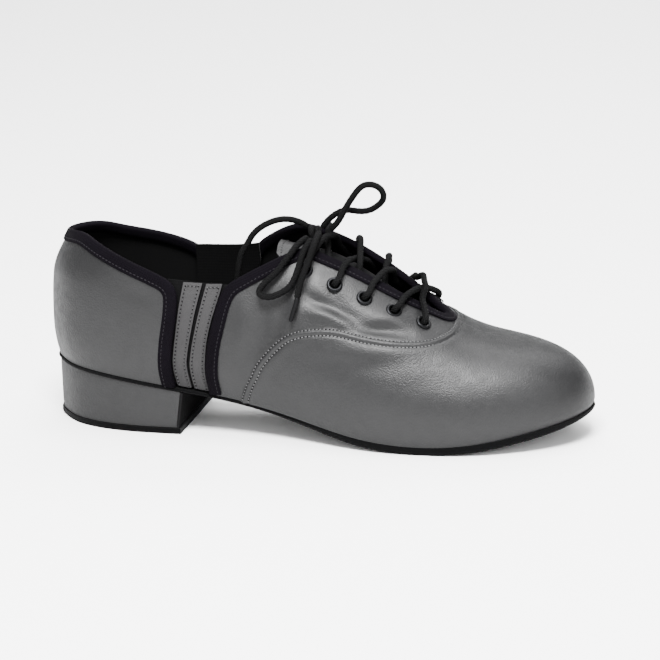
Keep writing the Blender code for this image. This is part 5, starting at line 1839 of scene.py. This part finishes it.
@dataclass
class Lacing:
    """The lace through the holes, its knot, loops and ends.

    Attributes:
        step, sides: distance between sections and places round each.
        pitch, strands, relief: length of one turn of the braid, its strands and their height.
        radius: half the drawn width.
        tip, tip_radius: length and half width of the hard tip.
    """

    mesher: Mesher
    seeker: Seeker
    step: float = 0.42
    sides: int = 20
    pitch: float = 2.6
    strands: int = 5
    relief: float = 0.2
    radius: float = LACE / 2 + 0.2
    tip: float = 13.0
    tip_radius: float = 1.2

    @staticmethod
    def hole(side: int, pair: int) -> tuple[Array, Array]:
        """Middle and normal of a lace hole.

        Args:
            side: LATERAL or MEDIAL.
            pair: number of the pair from the top.

        Returns:
            Place and normal.
        """
        station, up = (HOLES_LATERAL if side < 0 else HOLES_MEDIAL)[pair]
        p, n, _, _ = FORM.frame(np.array([float(FORM.round_of(station, side))]), np.array([up]))
        return p[0], n[0]

    @staticmethod
    def crossing(side: int, a: Array, b: Array) -> float:
        """Share along a plan line where it crosses a facing's edge.

        Args:
            side: LATERAL or MEDIAL.
            a, b: ends of the plan line.

        Returns:
            The share from a to b.
        """
        line = FORM.edge(FRONT_LATERAL if side < 0 else FRONT_MEDIAL, side, 3.0)
        p = FORM.at(line[:, 0], line[:, 1])
        k = np.linspace(0, 1, 201)
        q = a[None] * (1 - k[:, None]) + b[None] * k[:, None]
        d = np.hypot(q[:, None, 0] - p[None, :, 0], q[:, None, 1] - p[None, :, 1])
        return float(k[d.min(1).argmin()])

    @staticmethod
    def turn(p: Array, n: Array, way: Array, level: Level) -> list:
        """Places from a run's height to the middle of a hole.

        Args:
            p, n: middle and normal of the hole.
            way: direction of the run.
            level: over or under the leather.

        Returns:
            The places.
        """
        if level is OVER:
            rows = ((2.3, RUN_OVER), (0.7, 2.3), (0.0, 0.8))
        else:
            rows = ((2.2, RUN_UNDER + 0.2), (0.65, -4.3), (0.0, -2.7))
        return [p + way * r + n * h for r, h in rows]

    @staticmethod
    def across(n: Array, way: Array) -> Array:
        """A way laid flat on the surface."""
        way = way - n * way.dot(n)
        return way / np.linalg.norm(way)

    def through(self) -> Array:
        """Places of the lace from one side of the knot through all holes to the other.

        Returns:
            The places.
        """
        over = self.seeker.over
        runs = []
        for i in range(len(ROUTE) - 1):
            side_a, pair_a, _, leave = ROUTE[i]
            side_b, pair_b, arrive, _ = ROUTE[i + 1]
            pa, na = self.hole(side_a, pair_a)
            pb, nb = self.hole(side_b, pair_b)
            ka = self.crossing(side_a, pa[:2], pb[:2])
            kb = self.crossing(side_b, pa[:2], pb[:2])
            ha = RUN_OVER if leave is OVER else RUN_UNDER
            hb = RUN_OVER if arrive is OVER else RUN_UNDER

            def line(k: float) -> Array:
                """Plan point at a share of the run."""
                return pa[:2] * (1 - k) + pb[:2] * k

            run = self.turn(pa, na, self.across(na, pb - pa), leave)[::-1]
            run += [over(*line(ka * 0.6), ha), over(*line(ka), ha)]
            for k in (0.25, 0.5, 0.75):
                spot = line(ka * (1 - k) + kb * k)
                run.append(over(*spot, ha * (1 - k) + hb * k + CROSSING[i]))
            run += [over(*line(kb), hb), over(*line(1 - (1 - kb) * 0.6), hb)]
            run += self.turn(pb, nb, self.across(nb, pa - pb), arrive)
            runs += run
        ends = []
        goals = over(146.5, -6.0, -4.2), over(144.5, 7.5, -4.2)
        for (side, pair, _, _), goal in zip((ROUTE[0], ROUTE[-1]), goals):
            p, n = self.hole(side, pair)
            way = self.across(n, goal - p)
            mid = over(p[0] + way[0] * 7.0, p[1] + way[1] * 7.0, -5.0)
            between = over(*((mid + goal)[:2] / 2), -4.5)
            ends.append([goal, between, mid] + self.turn(p, n, way, UNDER))
        return np.array(ends[0] + runs + ends[1][::-1])

    @staticmethod
    def rounded(points: Array) -> Array:
        """A smooth line through places that never swings wide between them.

        Args:
            points: places, one a row.

        Returns:
            Close places.
        """
        p = [points[0]]
        for q in points[1:]:
            if np.linalg.norm(q - p[-1]) > 0.3:
                p.append(q)
        p = np.array(p)
        p = np.vstack([2 * p[0] - p[1], p, 2 * p[-1] - p[-2]])
        out = []
        for i in range(1, len(p) - 2):
            t = [0.0]
            for a, b in ((i - 1, i), (i, i + 1), (i + 1, i + 2)):
                t.append(t[-1] + np.sqrt(np.linalg.norm(p[b] - p[a])))
            t0, t1, t2, t3 = t
            s = np.linspace(t1, t2, 14)[:-1, None]
            a1 = (t1 - s) / (t1 - t0) * p[i - 1] + (s - t0) / (t1 - t0) * p[i]
            a2 = (t2 - s) / (t2 - t1) * p[i] + (s - t1) / (t2 - t1) * p[i + 1]
            a3 = (t3 - s) / (t3 - t2) * p[i + 1] + (s - t2) / (t3 - t2) * p[i + 2]
            b1 = (t2 - s) / (t2 - t0) * a1 + (s - t0) / (t2 - t0) * a2
            b2 = (t3 - s) / (t3 - t1) * a2 + (s - t1) / (t3 - t1) * a3
            out.append((t2 - s) / (t2 - t1) * b1 + (s - t1) / (t2 - t1) * b2)
        out.append(p[-2][None])
        return np.vstack(out)

    @staticmethod
    def evened(line: Array, step: float) -> tuple[Array, Array]:
        """The same line with even steps.

        Args:
            line: close places.
            step: distance wanted between places.

        Returns:
            Places, and how far along each lies.
        """
        k = along(line)
        want = np.linspace(0, k[-1], max(int(k[-1] / step), 8) + 1)
        return np.stack([np.interp(want, k, line[:, i]) for i in range(3)], -1), want

    def braid(self, name: str, line: Array, node: str) -> tuple[Thing, Array]:
        """A braided round cord along a line.

        Args:
            name: piece name.
            line: places of its middle.
            node: the frame's node it stands for.

        Returns:
            The object and the places of its middle.
        """
        obj, p = self.tube(name, line, "lace", self.radius, self.relief, self.step)
        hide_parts(node)
        return obj, p

    def tube(
            self, name: str, line: Array, finish: str, radius: float, relief: float, step: float,
    ) -> tuple[Thing, Array]:
        """A round body along a line, with the strands' relief.

        Args:
            name: piece name.
            line: places of its middle.
            finish: name of its finish.
            radius, relief: half its width, and the strands' height.
            step: distance between sections.

        Returns:
            The object and the places of its middle.
        """
        p, s = self.evened(line, step)
        t = np.gradient(p, axis=0)
        t = unit(t)
        side = np.cross(t[0], [0.3, 0.2, 1.0])
        side /= np.linalg.norm(side)
        ang = 2 * np.pi * np.arange(self.sides) / self.sides
        stations = []
        for i in range(len(p)):
            side = side - t[i] * side.dot(t[i])
            side /= np.linalg.norm(side)
            up = np.cross(t[i], side)
            phase = 2 * np.pi * s[i] / self.pitch
            weave = np.maximum(np.sin(phase + self.strands * ang), np.sin(phase - self.strands * ang))
            r = radius - relief + relief * weave
            end = min(i, len(p) - 1 - i)
            r = r * (0.72 if end == 0 else 0.94 if end == 1 else 1.0)
            out = np.cos(ang)[:, None] * side + np.sin(ang)[:, None] * up
            stations.append(p[i] + r[:, None] * out)
        uv = np.stack(np.broadcast_arrays(ang[None] * radius, s[:, None]), -1).reshape(-1, 2)
        obj = self.mesher.loft(name, stations, finish, uv, sharp=75.0)
        return obj, p

    @staticmethod
    def curve(rows: Sequence) -> Array:
        """Close places along a smooth curve through some places.

        Args:
            rows: places, one a row.

        Returns:
            Close places.
        """
        rows = np.array(rows, float)
        k = along(rows)
        return Spline(k, rows)(np.linspace(0, k[-1], 400))

    def cord(
            self, name: str, line: Array, node: str,
    ) -> Thing:
        """A loose length of lace.

        Args:
            name, line, node: as in braid.

        Returns:
            The object.
        """
        obj, p = self.braid(name, line, node)
        path = self.mesher.place(p[::3] if (len(p) - 1) % 3 == 0 else np.vstack([p[::3], p[-1:]]))
        return obj

    def build(self) -> None:
        """Makes the crossings and the bow."""
        self.braid("lace_through", self.rounded(self.through()), "lace_crossings")
        centre = np.array(KNOT)
        turns = np.linspace(0, 3.3 * np.pi, 120)
        coil = [-2.9 + 3.5 * turns / (2 * np.pi), 3.1 * np.cos(turns), 3.1 * np.sin(turns)]
        self.cord("bow_knot", np.stack(coil, -1) + centre, "lace_knot")
        self.cord("bow_loop_up", self.curve(LOOP_UP), "lace_loop_up")
        self.cord("bow_loop_down", self.curve(LOOP_DOWN), "lace_loop_down")
        self.cord("bow_end_in", self.curve(END_IN), "lace_end_in")
        self.end_with_tip()

    def end_with_tip(self) -> None:
        """The loose end on the quarter, with its hard tip."""
        line = self.curve(END_OUT)
        s = along(line)
        cut = s[-1] - self.tip
        soft, hard = line[s <= cut + 0.6], line[s >= cut]
        tip, _ = self.tube("bow_tip", hard, "aglet", self.tip_radius, 0.0, 0.9)
        self.cord("bow_end_out", soft, "lace_end_out")


@dataclass
class Stitching:
    """Rows of thread, repeated by a node tree along each line.

    Attributes:
        share, radius: stitch length as a share of its pitch, and half the thread's width.
        hole_length, hole_radius: sizes of the dark bead painted as the shade in a needle hole.
        seam_in, seam_high: distances of the two vamp rows from the seam, and their height.
    """

    mesher: Mesher
    finishes: Finishes
    share: float = 0.72
    radius: float = 0.27
    hole_length: float = 0.7
    hole_radius: float = 0.38
    seam_in: tuple = (0.85, 4.0)
    seam_high: float = 0.12

    def __post_init__(self) -> None:
        """Makes the node tree."""
        self.tree = self.make_tree()

    @staticmethod
    def make_tree() -> Tree:
        """A node tree that sets a stretched bead at every pitch along a curve.

        Returns:
            The tree.
        """
        tree = bpy.data.node_groups.new("stitch_row", "GeometryNodeTree")
        face = tree.interface
        face.new_socket("Geometry", in_out="OUTPUT", socket_type="NodeSocketGeometry")
        face.new_socket("Geometry", in_out="INPUT", socket_type="NodeSocketGeometry")
        for name, value in (("Pitch", 0.002), ("Length", 0.0014), ("Radius", 0.0003)):
            face.new_socket(name, in_out="INPUT", socket_type="NodeSocketFloat").default_value = value
        face.new_socket("Thread", in_out="INPUT", socket_type="NodeSocketMaterial")
        face.new_socket("Seed", in_out="INPUT", socket_type="NodeSocketInt").default_value = 7
        add, link = tree.nodes.new, tree.links.new
        given, out = add("NodeGroupInput"), add("NodeGroupOutput")
        spots = add("GeometryNodeCurveToPoints")
        spots.mode = "LENGTH"
        bead = add("GeometryNodeMeshUVSphere")
        preset(bead, ("Segments", 8), ("Rings", 5), ("Radius", 1.0))
        size = add("ShaderNodeCombineXYZ")
        vary = add("FunctionNodeRandomValue")
        vary.data_type = "FLOAT"
        low, high = [s for s in vary.inputs if s.name in ("Min", "Max") and s.type == "VALUE"]
        low.default_value, high.default_value = 0.88, 1.1
        half = add("ShaderNodeMath")
        half.operation = "MULTIPLY"
        place = add("GeometryNodeInstanceOnPoints")
        real = add("GeometryNodeRealizeInstances")
        shade = add("GeometryNodeSetShadeSmooth")
        coat = add("GeometryNodeSetMaterial")
        wire(tree, (
            (given, "Geometry", spots, "Curve"), (given, "Pitch", spots, "Length"),
            (given, "Seed", vary, "Seed"), (given, "Length", half, 0),
        ))
        link([s for s in vary.outputs if s.type == "VALUE"][0], half.inputs[1])
        wire(tree, (
            (given, "Radius", size, "X"), (given, "Radius", size, "Y"), (half, 0, size, "Z"),
            (spots, "Points", place, "Points"), (spots, "Rotation", place, "Rotation"),
            (bead, "Mesh", place, "Instance"), (size, "Vector", place, "Scale"),
            (place, "Instances", real, "Geometry"), (real, "Geometry", shade, "Geometry"),
            (shade, "Geometry", coat, "Geometry"), (given, "Thread", coat, "Material"),
            (coat, "Geometry", out, "Geometry"),
        ))
        return tree

    def row(
            self, name: str, lines: Sequence, pitch: float, length: float, radius: float, finish: str,
            shift: float = 0.0,
    ) -> Thing:
        """Beads along some lines, as one plain mesh.

        Args:
            name: piece name.
            lines: arrays of places.
            pitch, length, radius: sizes of the row.
            finish: name of the thread's finish.
            shift: how far along each line the first bead is moved.

        Returns:
            The object.
        """
        close = 0.5
        curve = bpy.data.curves.new(name + "_line", "CURVE")
        curve.dimensions = "3D"
        for line in lines:
            p, _ = Lacing.evened(np.asarray(line, float), close)
            p = self.mesher.place(p[int(shift / close):])
            spline = curve.splines.new("POLY")
            spline.points.add(len(p) - 1)
            spline.points.foreach_set("co", np.hstack([p, np.ones((len(p), 1))]).ravel())
        guide = new_object(name + "_line", curve)
        change = guide.modifiers.new("beads", "NODES")
        change.node_group = self.tree
        values = {"Pitch": pitch * MM, "Length": length / 2 * MM, "Radius": radius * MM,
                  "Thread": self.finishes.material(finish), "Seed": 11}
        for item in self.tree.interface.items_tree:
            if item.item_type == "SOCKET" and item.in_out == "INPUT" and item.name in values:
                change[item.identifier] = values[item.name]
        bpy.context.view_layer.update()
        graph = bpy.context.evaluated_depsgraph_get()
        mesh = bpy.data.meshes.new_from_object(guide.evaluated_get(graph), depsgraph=graph)
        bpy.data.objects.remove(guide)
        obj = new_object(name, mesh)
        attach(obj, "root")
        LOG.info("made %s", name)
        return obj

    def pair(self, name: str, lines: Sequence, pitch: float, finish: str, holes: bool = True) -> None:
        """Thread with a dark bead between each two stitches, painted as the shade in a needle hole.

        Args:
            name: piece name.
            lines: arrays of places.
            pitch: from stitch to stitch.
            finish: name of its finish.
            holes: whether the dark beads of painted needle-hole shade are made.
        """
        self.row(name, lines, pitch, pitch * self.share, self.radius, finish)
        if holes:
            # dark beads on the surface, painted shade where a needle hole would show dark
            sizes = pitch, self.hole_length, self.hole_radius
            self.row(name + "_holes", lines, *sizes, "needle_hole", pitch / 2)

    def seams(self) -> list:
        """The two rows along the vamp's edge, both sides in one line.

        Returns:
            An array of places for each row.
        """
        lines = []
        for d in self.seam_in:
            halves = []
            for side, rows in ((LATERAL, SEAM_LATERAL), (MEDIAL, SEAM_MEDIAL)):
                uv = FORM.edge(rows, side, 1.0)
                _, _, across = away_from(uv, side)
                q = FORM.walk(uv, across, d)
                q = q[q[:, 1] > 0.012]
                p, n, _, _ = FORM.frame(q[:, 0], q[:, 1])
                halves.append(p + n * self.seam_high)
            lines.append(np.vstack([halves[0], halves[1][::-1]]))
        return lines


@dataclass
class Studio:
    """Floor, lights and camera.

    Attributes:
        azimuth, elevation, roll: the camera's angles in degrees.
        focal, shift: lens and shift that were fitted to the photograph.
        away, target: distance in millimetres, and the place it looks at.
        lamps: name, place, aim, size and power of each light.
        room: strength of the white room.
    """

    finishes: Finishes
    azimuth: float = 13.55
    elevation: float = 16.69
    roll: float = 1.29
    focal: float = 2330.19 / PHOTO * 36
    shift: tuple = (12.52 / PHOTO, 8.10 / PHOTO)
    away: float = 1200.0
    target: tuple = (142.5, 0.0, 45.0)
    lamps: tuple = (
        ("top", (0.1, 0.12, 1.6), (0.0, 0.0, 0.03), (1.0, 0.8), 50.0),
        ("key", (0.1, -0.72, 1.4), (0.0, 0.0, 0.05), (0.7, 0.45), 125.0),
        ("right", (1.3, -0.9, 0.8), (0.0, 0.0, 0.05), (1.1, 0.8), 14.0),
        ("front", (-0.2, -1.6, 0.8), (0.0, 0.0, 0.05), (1.4, 0.8), 8.0),
        ("behind", (0.0, 1.7, 1.7), (0.0, 1.7, 0.0), (2.4, 1.2), 92.0),
    )
    room: float = 0.9

    def build(self) -> None:
        """Makes all of it."""
        self.floor()
        self.lights()
        self.camera()

    def floor(self) -> None:
        """A pale sweep that runs from under the shoe up behind it."""
        turn = np.radians(np.linspace(0, 40, 9))
        profile = [(-4.0, 0.0), (0.0, 0.0)]
        profile += [(1.6 + 1.4 * math.sin(t), 1.4 - 1.4 * math.cos(t)) for t in turn]
        points, faces = [], []
        for y, z in profile:
            points += [(-4.0, y, z), (4.0, y, z)]
        for i in range(len(profile) - 1):
            faces.append((2 * i, 2 * i + 1, 2 * i + 3, 2 * i + 2))
        mesh = bpy.data.meshes.new("floor")
        mesh.from_pydata(points, [], faces)
        mesh.shade_smooth()
        mesh.materials.append(self.finishes.material("floor"))
        obj = new_object("floor", mesh)
        obj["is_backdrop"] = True

    def light(self, name: str, place: tuple, aim: tuple, size: tuple, power: float) -> Thing:
        """A soft rectangular light.

        Args:
            name: of the light.
            place, aim: where it is and what it points at.
            size, power: metres and watts.

        Returns:
            The object.
        """
        data = bpy.data.lights.new(name, "AREA")
        data.shape = "RECTANGLE"
        data.size, data.size_y = size
        data.energy = power
        data.color = (1.0, 1.0, 1.0)
        obj = bpy.data.objects.new(name, data)
        obj.location = place
        way = Vector(aim) - Vector(place)
        obj.rotation_mode = "QUATERNION"
        obj.rotation_quaternion = way.to_track_quat("-Z", "Y")
        bpy.context.collection.objects.link(obj)
        return obj

    def lights(self) -> None:
        """Large soft lights above and round the shoe, in a white room."""
        for lamp in self.lamps:
            self.light(*lamp)
        world = bpy.data.worlds.new("room")
        world.use_nodes = True
        back = world.node_tree.nodes["Background"]
        back.inputs["Color"].default_value = (1.0, 1.0, 1.0, 1.0)
        back.inputs["Strength"].default_value = self.room
        bpy.context.scene.world = world

    def camera(self) -> None:
        """The photograph's angle to the shoe."""
        a, e, r = (math.radians(v) for v in (self.azimuth, self.elevation, self.roll))
        right = np.array([math.cos(a), math.sin(a), 0.0])
        ahead = np.array([-math.sin(a) * math.cos(e), math.cos(a) * math.cos(e), -math.sin(e)])
        up = np.cross(right, ahead)
        turned_right = right * math.cos(r) - up * math.sin(r)
        turned_up = right * math.sin(r) + up * math.cos(r)
        place = (np.array(self.target) - MIDDLE - ahead * self.away) * MM
        data = bpy.data.cameras.new("camera")
        data.lens = self.focal
        data.sensor_width = 36.0
        data.shift_x, data.shift_y = self.shift
        data.clip_start = 0.05
        data.clip_end = 20.0
        obj = bpy.data.objects.new("camera", data)
        rows = [list(v) + [w] for v, w in zip(np.stack([turned_right, turned_up, -ahead], 1), place)]
        obj.matrix_world = Matrix(rows + [[0.0, 0.0, 0.0, 1.0]])
        bpy.context.collection.objects.link(obj)
        bpy.context.scene.camera = obj


def note_size(first: Sequence, last: Sequence) -> None:
    """Turns the box of the frame and of the dressed shoe into plain lists, which are not kept."""
    [[list(map(float, v)) for v in box] for box in (first, last)]


def main() -> None:
    """Dresses the frame."""
    logging.basicConfig(level=logging.INFO)
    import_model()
    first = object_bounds()
    finishes = Finishes()
    mesher = Mesher(finishes)
    seeker = Seeker()
    tapes, gores, tongue = Bindings(mesher), Gores(mesher), Tongue(mesher, seeker)
    lacing = Lacing(mesher, seeker)
    for piece in (Upper(mesher), tapes, gores, Underfoot(mesher), tongue, Eyelets(mesher), lacing):
        piece.build()
        LOG.info("built %s", type(piece).__name__.lower())
    thread = Stitching(mesher, finishes)
    thread.pair("seam_thread", thread.seams(), 1.9, "thread")
    thread.pair("tape_thread", tapes.rows, 2.1, "thread_dark", False)
    thread.pair("strip_thread", gores.rows, 2.0, "thread_grey")
    thread.pair("tongue_thread", tongue.rows, 1.9, "thread_grey")
    Studio(finishes).build()
    note_size(first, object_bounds())
    LOG.info("dressed")


if __name__ == "__main__":
    main()
